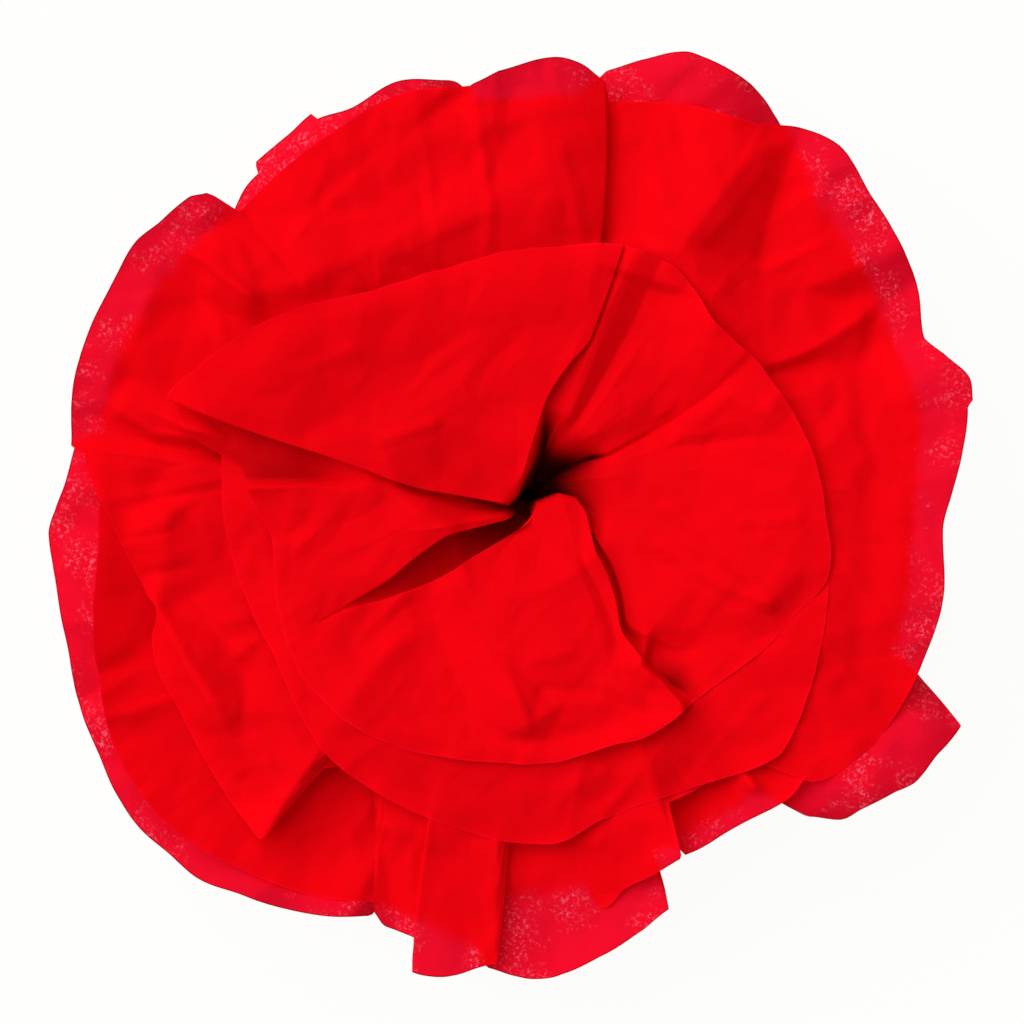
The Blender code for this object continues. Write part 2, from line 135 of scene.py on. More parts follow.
# The same painted shade for the hollows that creases make.
HOLLOW_FROM = 3.5
HOLLOW_DEPTH = 5.0

# The paper is crumpled into triangles of these sizes, which lift it this much. It starts outside the throat.
CRUMPLES = [(17, 1.1), (9, 0.6), (4.5, 0.2)]
CRUMPLE_FROM = 5
CRUMPLE_FADE = 12
CRUMPLE_BENDS = 2
CRUMPLE_LATTICE = 160
CRUMPLE_SPREAD = 0.5
# A bend's length and swing, both in triangles.
BEND_LENGTHS = (2.2, 4.5)
BEND_SWINGS = (0.2, 0.45)

# How a sheet is laid over the ones below it: by rays from a height above them all, in rounds.
RAY_START = 400
LAY_ROUNDS = 2
SPREAD_ROUNDS = 3
SPREAD_BLUR = (3, 2.5)
LAY_BLUR = (1.0, 0.8)
# How far in from its rim a sheet settles on the one below, and what share of the gap it closes.
SETTLE_REACH = 14.0
SETTLE_SHARE = 0.15
SETTLE_BLUR = (5, 3)
# How far and how much a sheet swells up to the rim that lies on it. It meets the rims of this many sheets
# above it.
MEET_REACH = 26.0
MEET_MOST = 4.5
MEET_RIM_BLUR = 20
MEET_BLUR = (5, 4)
MEET_SHEETS = 2
# How softly the paper changes where a second sheet begins.
ALONE_BLUR = (0.7, 0.7)
# The neck counts as this far from the rim.
NECK_FROM_RIM = 100.0
# Each sheet draws its random numbers from this seed plus its order.
FIRST_SEED = 40

# The wire round the neck.
WIRE_DIAMETER = 1.0
WIRE_TURNS = 3
WIRE_LOWEST = 6.0
WIRE_GAP = 0.35
WIRE_CLEARANCE = 0.3
WIRE_STEPS_PER_TURN = 60
WIRE_SIDES = 14
WIRE_END_RINGS = 5

# Colours of the paper: where sheets lie on each other, where one lies alone, its pale fibres, its cut edge,
# a painted highlight on the rim inside that edge, painted shade in the throat's pocket and the hollows of
# creases, and the light that comes through.
TISSUE_RED = (0.86, 0.0, 0.004, 1.0)
SINGLE_RED = (0.80, 0.003, 0.022, 1.0)
FIBRE_PINK = (0.95, 0.17, 0.27, 1.0)
CUT_EDGE = (0.30, 0.0, 0.0, 1.0)
RIM_HIGHLIGHT_RED = (0.93, 0.0, 0.012, 1.0)
POCKET_SHADE_RED = (0.02, 0.0, 0.0, 1.0)
THROUGH_RED = (0.85, 0.0, 0.006, 1.0)
THROUGH_SHARE = 0.2
TISSUE_ROUGHNESS = 0.8
TISSUE_SPECULAR = 0.03
# From where to where the cut edge and the painted highlight on the rim inside it fade, in millimetres from
# the rim.
CUT_FADE = (0.12, 0.42)
RIM_HIGHLIGHT_FADE = (0.15, 0.5)

# The colour sockets of Blender's Mix node: its two inputs and its output.
MIX_INPUTS = (6, 7)
MIX_OUTPUT = 2

# Noise in the materials, and the ranges of it that make a mask. A bump has its strength, and its height in
# metres.
Noise = namedtuple("Noise", "scale detail roughness distortion", defaults=(3.0, 0.6, 0.0))
CLUMPS = Noise(75.0, 4.0, 0.62)
CLUMP_RANGE = (0.46, 0.66)
SPECKS = Noise(1000.0, 3.0, 0.7, 0.3)
SPECK_RANGE = (0.5, 0.72)
GRAIN = Noise(420.0, 5.0, 0.65, 0.4)
GRAIN_BUMP = (0.35, 0.0003)
WEAR = Noise(900.0)
WEAR_RANGE = (0.52, 0.7)
WRAPPING = Noise(2500.0)
WRAPPING_BUMP = (0.4, 0.0001)
WIRE_GREEN = (0.03, 0.12, 0.035, 1.0)
WORN_GREEN = (0.12, 0.25, 0.10, 1.0)
WIRE_ROUGHNESS = 0.55

# The stage, in metres: a pale floor that the camera sees nearly white, the sky's light and the lamp.
FLOOR_HALF = 3.0
FLOOR_GREY = (0.85, 0.85, 0.84, 1)
FLOOR_ROUGHNESS = 0.9
GLOW_WHITE = (1.0, 1.0, 0.99, 1)
GLOW_SHARE = 0.95
SKY_WHITE = (1, 1, 1, 1)
SKY_STRENGTH = 0.42
LAMP_SIZE = 13.0
LAMP_ENERGY = 1185.0
LAMP_PLACE = (-4.9, 3.85, 7.0)
LAMP_AIM = (0, 0, 0.03)

Fold = namedtuple("Fold", "waist_angle rim_angle waist_lift rim_lift")
# A fold of the front sheet starts at the throat, at an (x, y) pixel of the photograph and a height. It goes
# on by its (angle, lift) at the waist, half-way out, at the rim and, where that is given, further out than
# half-way.
Lobe = namedtuple("Lobe", "tuck waist middle rim far", defaults=(None,))
Ridge = namedtuple("Ridge", "x1 y1 x2 y2 lift width")
# A sheet's order counts from the front. Run is how far out it takes to rise from neck_top towards crest,
# softness rounds its folds, crumple scales the crumpling, and flat is the diameter of its flat disc.
Sheet = namedtuple(
    "Sheet",
    "name order neck_top crest run waist rim_height outline folds ridges creases pinches ring_step softness"
    " crumple flat",
)

# The cut outlines, as smooth runs of (angle, reach). The rim steps between two runs.
FRONT_OUTLINE = [
    [(307, 65), (310, 65.2), (315.3, 65.8), (322, 67.2), (329.6, 69.8), (334.5, 71), (340, 74), (346, 76),
     (355, 73.4), (3, 71.5), (13, 69), (27, 65.6), (42, 62.5), (52, 65), (58, 66.5), (69, 65.5)],
    [(69, 65.5), (85, 61), (97, 59.8), (109, 59.1), (121, 61), (130, 64.6), (143, 74), (153, 82),
     (160, 87.5), (164.5, 91.5)],
    [(164.5, 91.5), (170, 84), (174, 72), (178, 69), (183, 67), (189, 64), (197, 65), (203, 67), (211, 69),
     (218, 71), (231, 71), (243, 69.5), (254, 67), (264, 66), (274.7, 65.8), (285.9, 64.4), (297, 65.8),
     (306, 64.8)],
]
INNER_OUTLINE = [
    [(282.5, 81.5), (292, 81), (301, 83), (312.5, 88), (316, 88), (323.5, 84.5), (337, 79), (346, 75.5),
     (3, 71), (13, 68.5), (27, 65), (42, 62), (58, 66), (70, 65), (85, 60.5), (97, 59.3), (109, 58.6),
     (121, 60.5), (130, 63.5), (144, 72), (156, 78), (166, 79), (174, 75.5)],
    [(176, 75.2), (184, 75.2), (190, 74.5), (200, 73.7), (211, 74), (217, 75), (223, 77), (230, 80),
     (238, 81.5), (248, 82.5), (255, 83), (260, 84.2), (265.5, 85.4), (271, 86), (275.5, 85.5),
     (282.5, 81.5)],
]
MIDDLE_OUTLINE = [
    [(294.5, 83), (305, 84), (311, 88), (315, 99.5), (321, 103), (329, 105), (340, 105), (345.5, 104.5),
     (355, 102), (359.5, 103.5), (5, 106.5), (11.5, 110)],
    [(12, 111.5), (15, 112), (18, 108.5), (21.5, 105)],
    [(21.5, 105), (28, 109), (33.5, 110.5), (41, 112), (46, 114.5), (49, 115), (53.5, 113), (57.5, 109)],
    [(58, 107.5), (64.5, 105), (71.5, 102.5), (78.5, 99.5)],
    [(79.5, 104), (83, 107), (87, 107.7), (94, 104.5), (97.5, 102)],
    [(98, 101.5), (108, 103.5), (117, 101.5), (124, 100.5), (135.5, 99.5)],
    [(136.5, 108), (138.5, 110.5), (143.5, 112.5), (147, 114.6), (152, 114.6), (159, 115), (164.5, 115.5),
     (168, 115), (174, 113.5)],
    [(174.5, 110), (179.5, 106.3), (183.5, 103), (188, 100), (195, 97), (197.5, 95.8), (201, 99.4),
     (205, 100.7), (211, 101), (217.5, 102.4), (223.5, 104.2), (229.5, 106.2), (232.4, 107.2)],
    [(233, 84), (237, 79), (242, 80)],
    [(243.5, 84.6), (247.5, 98), (249.5, 108)],
    [(250, 110), (251.5, 112), (253, 112.3), (255.6, 112.5)],
    [(256.4, 120.6), (258, 120.6), (261, 119.5), (265.3, 116), (266.3, 115.8)],
    [(267, 82), (271, 79), (275.5, 81)],
    [(276.7, 88.5), (280, 103), (284, 99.7), (288, 98), (293, 96.5)],
]
OUTER_OUTLINE = [
    [(293.5, 96.5), (297, 96.5), (303.5, 96.5), (311, 98), (316, 97), (330, 99), (345, 96), (0, 95),
     (12, 98), (25, 98), (45, 101), (62, 98), (78, 95), (95, 94), (110, 97), (130, 96), (145, 103),
     (160, 106), (172, 107)],
    [(174, 106), (183.5, 105.5), (189, 107), (194, 110), (204, 115), (211, 119), (220.5, 120.3),
     (227.5, 118.3), (233, 116), (239.5, 113), (244.5, 110.3), (249, 107.5), (256, 108), (263, 112)],
    [(265, 117), (269, 119), (271, 119.5), (274, 118.6), (279, 114.8), (285, 110.7), (289, 107.5)],
    [(289.6, 93), (292.8, 93)],
]
BACK_OUTLINE = [
    [(335, 107.5), (338, 93), (350, 90), (10, 92), (30, 96), (46, 102)],
    [(50, 107), (57, 113), (61.5, 116.5), (68.5, 117.5), (71, 117), (75, 112.5), (79.5, 107.5)],
    [(83, 99), (97, 98), (99.5, 105), (102.5, 106.5), (107.5, 108), (114.5, 105.6), (119.4, 107)],
    [(119.6, 109), (123, 108), (127, 107.7), (129.5, 107.7)],
    [(129.8, 105), (133, 104.5), (138, 102), (150, 104), (162, 104), (171, 106)],
    [(174, 113.5), (178, 114.6), (182, 117.7), (184.5, 119.5), (193, 119.6), (198, 120.4), (204, 123),
     (211.5, 125.2), (216.5, 126.7), (220.5, 127.5), (225, 126.2), (229.5, 125.3), (234, 121.5),
     (239, 118.6), (244, 115.3), (249.5, 111)],
    [(252, 101), (270, 99), (290, 93), (308, 92)],
    [(311, 105), (314, 111), (317, 112.5), (321, 115.5), (323.5, 118.3), (327.5, 119), (330, 120.2),
     (332, 120.8)],
]

# The folds of each sheet in turn, going round. Where the angles turn back, the paper doubles back.
FRONT_FOLDS = [
    Lobe((556, 482, 40), (12, -2), (10, -0.8), (8, 2.2)),
    Lobe((556, 474, 38), (19, -2), (20, -0.8), (20, 1.8)),
    Lobe((572, 464, 38), (24.5, -2.6), (25.5, -1.8), (28, 1)),
    Lobe((590, 459, 38), (26.2, -5), (27, -3.8), (32, 0.2)),
    Lobe((588, 455, 44), (28, -3.4), (28.4, -3.6), (34, 1)),
    Lobe((572, 450, 46), (44, -1.8), (40, -2), (44, 0.5)),
    Lobe((560, 448, 46), (51, -2), (53, -1.7), (53, -2)),
    Lobe((555, 445, 46), (56.5, -3.2), (58, -3), (60.5, -2.4)),
    Lobe((552, 441, 45), (62.3, -1), (64.5, -0.2), (65, 0)),
    Lobe((549, 438, 46), (66, -1.2), (66.9, 0), (66.3, 0.3)),
    Lobe((546, 445, 36), (81, -4), (70.5, -3), (72, -1)),
    Lobe((521, 480, 54), (80, 0.8), (67.6, 0.8), (68.6, 0.5)),
    Lobe((517, 493, 53), (97, 0), (88, 0.5), (85, 1)),
    Lobe((515, 499, 52.5), (120, 0), (115, 0), (110, 0.5)),
    Lobe((514, 501, 52.5), (148, 0), (144, 0), (138, 1.5)),
    Lobe((512, 502, 52.5), (168, 0.5), (162, 0.3), (157, 2)),
    Lobe((508, 504, 53), (179, 0.5), (171.5, 0.6), (165.5, 2.5)),
    Lobe((511, 508, 42), (174, -6), (168, -3), (162, -6), (165, -6)),
    Lobe((507, 511, 46), (184, -3), (173, -1.5), (176.5, -9), (175.5, -7)),
    Lobe((504, 513, 50), (196, -0.5), (178, 0.5), (178.5, -2), (177.5, -0.5)),
    Lobe((506, 516, 52), (201, 1.2), (192, 0.5), (192, -0.5)),
    Lobe((511, 519, 51), (206.5, 0.5), (212, 0.3), (210.5, 0), (211.3, 0)),
    Lobe((519, 514, 40), (202, -8), (208, -6), (210.8, -0.2), (211.5, -0.6)),
    Lobe((534, 518, 40), (232, -9), (220, -6), (211.1, -0.2), (211.9, -0.6)),
    Lobe((534, 521, 52), (227, -0.8), (217, -1.8), (212, 0), (212.1, 0)),
    Lobe((535, 512, 50.5), (240, -0.4), (234, -1), (230, 0)),
    Lobe((538, 501, 50), (262, 0.6), (256, 1.4), (255, 2)),
    Lobe((547, 497, 50), (288, 1), (281, 2.8), (280, 3)),
    Lobe((562, 491, 50), (305, 1), (296, 2.8), (297, 3.2)),
    Lobe((578, 495, 49.6), (309, 0.4), (302, 1.8), (303, 3.2)),
    Lobe((586, 508, 50.6), (320.5, 0.6), (304.5, 2.4), (307, 3.2)),
    Lobe((580, 503, 42), (317, -7), (302.5, -5), (301, -1)),
    Lobe((583, 499, 40), (323, -6), (305.5, -5), (312, -1)),
    Lobe((566, 494, 40), (325.5, -3), (307, -2), (325, 0)),
    Lobe((560, 489, 40), (350, -3), (345, -1.2), (350, 2.5)),
]
INNER_FOLDS = [
    Fold(35, 33, -8, 0), Fold(30, 30, -1, 0), Fold(44, 44, 0, 0), Fold(58, 58, -2, -1),
    Fold(66, 66, -8, -2), Fold(83, 74, -9, -2), Fold(90, 86, 0, 0), Fold(120, 112, 1, 0),
    Fold(150, 142, 1, 0), Fold(169, 165, 0, 0.5), Fold(173, 172, -7, 1.5), Fold(177, 176, -7.5, 1),
    Fold(188, 181, -6, 1), Fold(200, 192, -2, -3), Fold(207, 205, -2, 1), Fold(212, 214, -8, 3),
    Fold(219, 222, -8, 4), Fold(226, 230, 0, 4), Fold(240, 240, 0, 2), Fold(255, 252, 0, -1.5),
    Fold(270, 264, -1, -2), Fold(280, 275, -1, -1.5), Fold(288, 283, -2, -1.5), Fold(300, 292, -5, -1),
    Fold(308, 302, -9, 2), Fold(320, 313, -11, 5), Fold(334, 325, -7, 5.5), Fold(352, 345, -3, 4),
    Fold(10, 8, -2, 3),
]
MIDDLE_FOLDS = [
    Fold(8, 11.7, 2, 4), Fold(18, 18, 0.5, 3), Fold(26.5, 22, -1, 0), Fold(30, 28.5, 0, 0),
    Fold(38, 31, 0, 0), Fold(45, 42, 0, 1), Fold(48, 53, 0, 0), Fold(57.7, 57.8, 0, 1), Fold(66, 68, 0, 0),
    Fold(75.5, 80.2, -5, -4), Fold(73, 79, 0.5, 0), Fold(84, 88, 1, 1), Fold(99, 97.8, 0, 1),
    Fold(112, 109, 0, 2), Fold(126, 122, 0, 4.5), Fold(137, 134.5, 1, 4.5), Fold(146, 146, 1, 3),
    Fold(155, 156, 1, 2), Fold(164, 161, 1, 1), Fold(172, 164.5, 1, 1), Fold(170, 170, -4, -1),
    Fold(176, 175, -3, 0), Fold(179, 181, 0, 0), Fold(184, 187, 0, 0), Fold(194, 197, -1.5, -3.5),
    Fold(205, 205, -1, -2), Fold(217, 217, 0.5, 1), Fold(231, 232.4, 1.5, 3.5), Fold(236, 237, -4, -5),
    Fold(243, 249.4, -4, -3.5), Fold(252.5, 256.2, -2, -2), Fold(250.5, 255.8, 1, 1),
    Fold(264.5, 266.2, 1, 1), Fold(271, 271, -5, -5), Fold(276.5, 280, -3, -3), Fold(285, 287, 0, 4),
    Fold(293, 293.4, 3, 8), Fold(301, 303, 0, 0), Fold(315, 318, 1, 3.5), Fold(332, 335, 2.5, 7),
    Fold(350, 352, 3, 6.5),
]
OUTER_FOLDS = [
    Fold(0, 0, 1, 4), Fold(20, 20, 0, 0), Fold(40, 40, 0, 0), Fold(60, 60, 0, -1), Fold(80, 80, -1, -2),
    Fold(100, 100, 0, 2), Fold(122, 122, 0, 3), Fold(140, 140, 0, 3), Fold(158, 158, 0, 1),
    Fold(172, 172, 0, 0), Fold(178, 178, -1, 6), Fold(192, 192, -3, 10.5), Fold(204, 204, -4, 9),
    Fold(215, 215, -4, 7), Fold(228, 228, -1, 3), Fold(240, 240, -2, 0), Fold(252, 252, -3, -1),
    Fold(266, 266, -2, -2), Fold(280, 280, 0, 0), Fold(291, 291, 0, 3), Fold(302, 302, 0, 1),
    Fold(314, 314, 1, 3), Fold(336, 336, 1, 5),
]
BACK_FOLDS = [
    Fold(0, 0, 0, -3), Fold(25, 25, 0, -13), Fold(46, 46, 0, 2), Fold(62, 62, 1, 22), Fold(78, 79, 0, 20),
    Fold(90, 90, 0, -13), Fold(105, 105, 0, 18), Fold(121, 120, 0, 20), Fold(133, 133, 0, 10),
    Fold(152, 152, 0, -13), Fold(168, 168, 0, 14), Fold(178, 178, 0, 25), Fold(188, 188, 0, 22),
    Fold(200, 200, 0, 20), Fold(212, 212, 0, 18), Fold(224, 224, 0, 20), Fold(236, 236, 0, 33),
    Fold(248, 248, 0, 38), Fold(254, 254, 0, 20), Fold(272, 272, 0, -13), Fold(290, 290, 0, -8),
    Fold(303, 303, 3, 24), Fold(318, 319, 12, 41), Fold(331, 332, 12, 40), Fold(344, 344, 1, 0),
]

# Single ridges that don't start at the neck, from end to end in millimetres.
INNER_RIDGES = [Ridge(40.5, -52, 18, -79.5, 3, 9)]
MIDDLE_RIDGES = [Ridge(-19.5, 100, -66, 55, 4, 16), Ridge(-91, -28, -78, -50, 3, 9)]

# Creases by the photograph's pixels, each a run of (x, y, lift). The paper lies flat between neighbouring
# creases.
FRONT_CREASES = [
    [(285, 446, 0), (360, 405, -0.4), (450, 358, -0.2), (500, 320, 0.2)],
    [(180, 385, 4), (285, 330, 4.4), (400, 300, 1.2), (500, 270, 0.6), (590, 262, 1)],
    [(385, 441, 1), (440, 421, 1.2)],
    [(396, 484, 0.8), (424, 503, 1.6), (448, 522, 1.2)],
    [(432, 491, -2), (470, 506, -3), (464, 516, -2)],
    [(700, 508, 0.5), (735, 546, 2), (768, 602, 3)],
    [(642, 482, -1), (615, 512, -1.8), (610, 545, -2)],
    [(620, 556, -2.2), (652, 548, -1.2), (694, 590, 1)],
    [(650, 668, -5), (672, 686, -7), (693, 702, -4.5), (720, 685, -2), (745, 665, -0.6), (775, 640, 0.6),
     (797, 600, 1)],
    [(655, 620, -0.8), (700, 632, -0.8), (740, 622, 0.8)],
    [(672, 446, -0.6), (705, 444, -1.2), (745, 437, -0.2)],
    [(733, 396, 1), (765, 415, 1.5), (800, 440, 1.5)],
    [(428, 600, -1.2), (448, 655, -1.5), (476, 722, -1)],
    [(476, 603, 1.2), (503, 652, 2.6), (530, 724, 2.8)],
    [(345, 603, -1.2), (312, 632, -1)],
    [(405, 605, 0), (377, 620, -1.2), (365, 640, -1)],
    [(281, 545, -1), (279, 600, -1.5), (295, 640, -1), (325, 700, -0.5)],
    [(360, 690, 0.5), (420, 735, 0.5), (500, 755, 0.5)],
    [(652, 290, -2), (664, 340, -2)],
    [(704, 296, 2.4), (716, 330, 2.8), (706, 352, 1.8)],
    [(540, 688, 0), (572, 688, -0.7), (594, 691, -0.8)],
    [(540, 697, 0.6), (568, 699, 0.6), (596, 706, 0.5)],
    [(616, 656, -1), (604, 673, -1.2), (606, 684, -1), (622, 700, -0.8), (636, 712, 0)],
    [(612, 672, 0), (616, 684, 0.2), (628, 696, 0.4)],
    [(500, 752, 0.8), (552, 757, 1.6), (600, 744, 2.8), (650, 729, 4), (682, 711, 5)],
    [(500, 738, 0), (545, 740, 0.2), (600, 728, 0.6)],
    [(642, 664, 1.8), (662, 681, 3), (684, 700, 4.6)],
    [(775, 522, 2.2), (797, 520, 2.6), (808, 560, 2.6)],
]
INNER_CREASES = [
    [(582, 765, 2.4), (570, 815, 2.8)],
    [(640, 775, -1.6), (622, 805, -2)],
    [(224, 520, -1.5), (236, 570, -2.5), (256, 620, -2.5), (290, 690, -1.5)],
    [(262, 520, 0.5), (272, 570, 2), (290, 620, 2), (322, 684, 1.5)],
    [(420, 800, 1), (470, 790, 0.3), (520, 826, 0.8)],
]
MIDDLE_CREASES = [
    [(440, 93, 1), (393, 104, 1.5), (330, 118, 2.5), (285, 150, 2.5), (250, 185, 1.5)],
    [(452, 96, -1), (405, 135, -2.5), (355, 172, -4.2), (305, 215, -3.2), (262, 277, -2)],
    [(258, 292, -1), (300, 284, 0.8), (345, 264, 1.6), (395, 243, 2.8), (430, 224, 3), (462, 210, 3)],
    [(268, 312, -2), (300, 303, -1), (356, 297, -1), (430, 276, -1), (500, 257, -1), (560, 249, -1.5),
     (600, 246, -2)],
    [(474, 95, 1.5), (480, 130, 3), (486, 165, 3.6), (489, 205, 3.6), (489, 248, 0)],
    [(505, 140, 1), (497, 158, 1.5)],
    [(532, 120, 2), (548, 165, 2.6), (562, 200, 2.2), (577, 228, 0)],
    [(603, 95, -1), (610, 120, -2), (615, 165, -2), (612, 195, -2), (604, 240, -3)],
    [(640, 108, -1.5), (640, 170, -2), (640, 240, -4)],
    [(660, 106, -1), (700, 118, 0.5), (730, 130, 2), (757, 152, 3), (722, 197, 4), (682, 249, 2)],
    [(797, 138, -2), (778, 190, -3.5), (757, 262, -5)],
    [(828, 160, -0.8), (815, 200, -0.6), (825, 240, 0.4), (838, 276, 0)],
    [(850, 296, -4), (888, 298, -4.5), (880, 262, -0.5)],
    [(763, 272, -2), (800, 290, -2), (838, 301, -3), (872, 307, -3)],
    [(765, 366, -1), (800, 356, 0.5), (820, 345, 1.5), (862, 317, 0)],
    [(765, 374, -2), (805, 364, -2), (862, 366, -2)],
    [(770, 382, -2), (800, 412, -1), (816, 450, 0), (830, 500, 1), (832, 570, 1), (826, 640, 1),
     (812, 700, 1)],
    [(865, 385, 0), (870, 450, 0.5), (870, 520, 0), (865, 600, 0), (850, 680, 0)],
    [(905, 400, 1), (900, 480, 1.5), (895, 560, 1.5), (888, 640, 1)],
    [(238, 217, -1.5), (225, 222, -1)],
    [(180, 247, 1.5), (215, 269, 3), (254, 297, 2.2)],
    [(200, 300, -2), (245, 322, -2.5), (262, 322, -3)],
    [(165, 255, 1.5), (150, 300, 2.6), (128, 350, 1.5)],
    [(125, 378, -2.5), (168, 400, -3), (205, 410, -2.5)],
    [(118, 412, 0.5), (155, 434, 2), (195, 438, 3), (215, 430, 2)],
    [(90, 430, -1.8), (150, 443, -2.2), (200, 451, -2.6), (240, 453, -3), (262, 454, -4.5), (300, 457, -6)],
    [(92, 452, 0), (150, 457, 1), (200, 463, 1.5), (262, 476, 0)],
    [(112, 503, -2), (165, 500, -2), (200, 494, -1.5), (240, 482, -2)],
    [(168, 512, 3.4), (166, 548, 3.2)],
    [(128, 515, -1.5), (130, 560, -1.5)],
    [(160, 603, 2.4), (184, 650, 4.2), (216, 698, 4.4), (236, 740, 4)],
    [(144, 640, -1.6), (162, 700, -1.8), (190, 750, -1.8), (228, 800, -1.2)],
    [(245, 603, 0), (258, 640, -2), (228, 638, -0.5)],
    [(222, 668, 0.5), (245, 688, -2), (282, 697, -2.5)],
    [(250, 712, 1), (270, 725, 1.2)],
    [(304, 758, 2.4), (286, 798, 2.4), (268, 826, 1.5)],
    [(379, 840, -1.5), (379, 905, -1.5)],
    [(411, 840, 1.5), (411, 922, 1.5)],
    [(420, 850, 0.8), (424, 960, 1)],
    [(486, 850, 0.5), (496, 950, 0.5)],
    [(575, 855, -1), (600, 900, -1)],
    [(620, 840, 0.8), (640, 870, 0.8)],
]
OUTER_CREASES = [
    [(110, 718, 1), (140, 710, 2), (172, 702, 1.5)],
    [(105, 560, 1), (120, 620, 0), (130, 680, 0)],
    [(150, 580, -1.5), (160, 640, -1.5)],
    [(130, 740, 0), (190, 800, 0), (250, 840, 0), (310, 868, -1)],
    [(310, 790, 0), (318, 825, -0.4), (312, 850, -0.6)],
    [(352, 830, 1.5), (365, 870, 1.5)],
]

# Where the paper was pinched into a sharp little ridge or groove: its lift, and its run of pixels.
FRONT_PINCHES = [
    (0.5, [(433, 369), (480, 335)]), (0.5, [(382, 441), (433, 423)]), (0.4, [(300, 372), (352, 350)]),
    (0.5, [(668, 272), (713, 330)]), (-0.5, [(672, 446), (705, 444), (745, 437)]),
    (0.5, [(744, 522), (796, 519)]), (0.7, [(661, 547), (692, 568), (734, 592), (769, 604)]),
    (0.7, [(769, 604), (723, 553), (668, 508)]), (-0.6, [(573, 547), (599, 589), (613, 620), (617, 655)]),
    (0.7, [(449, 589), (501, 672), (528, 726)]), (0.5, [(361, 638), (382, 615), (408, 589)]),
    (-0.5, [(542, 690), (600, 693), (630, 709)]), (0.4, [(532, 661), (573, 651)]),
    (0.6, [(392, 485), (415, 508), (450, 530)]), (-0.5, [(345, 603), (312, 632)]),
    (0.5, [(616, 657), (604, 673), (605, 684), (622, 700), (636, 712)]),
    (0.4, [(730, 398), (765, 412), (800, 436)]), (0.4, [(281, 545), (277, 600), (292, 640)]),
    (0.4, [(420, 700), (460, 730)]), (0.4, [(560, 380), (585, 330)]),
]
INNER_PINCHES = [
    (0.5, [(240, 560), (262, 612), (300, 690)]), (-0.4, [(430, 770), (470, 790)]),
    (0.4, [(700, 760), (760, 700)]), (0.4, [(600, 770), (560, 800)]), (0.4, [(800, 520), (812, 600)]),
]
MIDDLE_PINCHES = [
    (0.6, [(474, 100), (484, 160), (491, 210), (489, 248)]), (0.5, [(562, 150), (582, 238)]),
    (0.5, [(392, 258), (450, 230), (489, 212)]), (0.8, [(210, 290), (228, 347)]),
    (0.6, [(178, 243), (215, 266), (258, 297)]), (0.5, [(237, 240), (257, 290)]),
    (0.6, [(702, 245), (762, 172)]), (-0.6, [(763, 274), (805, 292), (850, 304)]),
    (0.6, [(765, 366), (805, 354), (862, 318)]), (0.4, [(840, 410), (868, 470)]),
    (0.4, [(845, 560), (880, 620)]), (0.7, [(120, 410), (155, 432), (195, 440), (240, 440)]),
    (0.6, [(112, 500), (165, 492), (240, 474)]), (0.6, [(140, 530), (175, 520), (215, 552)]),
    (-0.6, [(150, 575), (190, 566), (222, 592)]), (0.7, [(152, 600), (184, 655), (214, 700), (240, 770)]),
    (-0.5, [(170, 610), (205, 625), (228, 640)]), (0.5, [(190, 640), (235, 655), (258, 640)]),
    (0.5, [(225, 700), (262, 712), (300, 712)]), (0.4, [(330, 160), (300, 230)]),
    (0.4, [(420, 120), (432, 190)]), (0.4, [(650, 130), (665, 200)]), (0.4, [(880, 330), (905, 400)]),
    (0.5, [(820, 640), (868, 700)]), (0.4, [(150, 300), (132, 352)]), (0.4, [(270, 760), (284, 800)]),
    (0.4, [(600, 850), (634, 905)]),
]
OUTER_PINCHES = [
    (0.7, [(110, 716), (140, 708), (172, 700)]), (0.5, [(352, 832), (366, 880)]),
    (0.4, [(150, 790), (210, 800)]),
]
BACK_PINCHES = [
    (0.5, [(840, 720), (905, 742)]), (0.4, [(860, 780), (900, 700)]), (0.4, [(640, 70), (690, 105)]),
]

# From the front to the back.
SHEETS = [
    Sheet(
        name="front_sheet", order=0, neck_top=24, crest=54, run=6, waist=22, rim_height=55.5,
        outline=FRONT_OUTLINE, folds=FRONT_FOLDS, ridges=[], creases=FRONT_CREASES, pinches=FRONT_PINCHES,
        ring_step=0.75, softness=0.8, crumple=1.1, flat=185,
    ),
    Sheet(
        name="inner_sheet", order=1, neck_top=20, crest=50, run=14, waist=22, rim_height=53,
        outline=INNER_OUTLINE, folds=INNER_FOLDS, ridges=INNER_RIDGES, creases=INNER_CREASES,
        pinches=INNER_PINCHES, ring_step=0.9, softness=1.4, crumple=1.2, flat=185,
    ),
    Sheet(
        name="middle_sheet", order=2, neck_top=17.5, crest=48.5, run=18, waist=62, rim_height=50.5,
        outline=MIDDLE_OUTLINE, folds=MIDDLE_FOLDS, ridges=MIDDLE_RIDGES, creases=MIDDLE_CREASES,
        pinches=MIDDLE_PINCHES, ring_step=1.05, softness=1.3, crumple=1.2, flat=240,
    ),
    Sheet(
        name="outer_sheet", order=3, neck_top=15.5, crest=41, run=22, waist=78, rim_height=46.5,
        outline=OUTER_OUTLINE, folds=OUTER_FOLDS, ridges=[], creases=OUTER_CREASES, pinches=OUTER_PINCHES,
        ring_step=1.3, softness=2.0, crumple=1.4, flat=235,
    ),
    Sheet(
        name="back_sheet", order=4, neck_top=13.5, crest=30, run=24, waist=78, rim_height=14,
        outline=BACK_OUTLINE, folds=BACK_FOLDS, ridges=[], creases=[], pinches=BACK_PINCHES,
        ring_step=1.3, softness=2.0, crumple=1.4, flat=250,
    ),
]


def neck_radius(sheet):
    """Radius of the gathered neck: each sheet lies round the one before it."""
    return CORE_RADIUS + sheet.order * (PAPER + NECK_CLEARANCE)


def neck_end(sheet):
    """Height of the sheet's paper where it crosses the end of the neck."""
    return PAPER / 2 + (len(SHEETS) - 1 - sheet.order) * (PAPER + NECK_CLEARANCE)


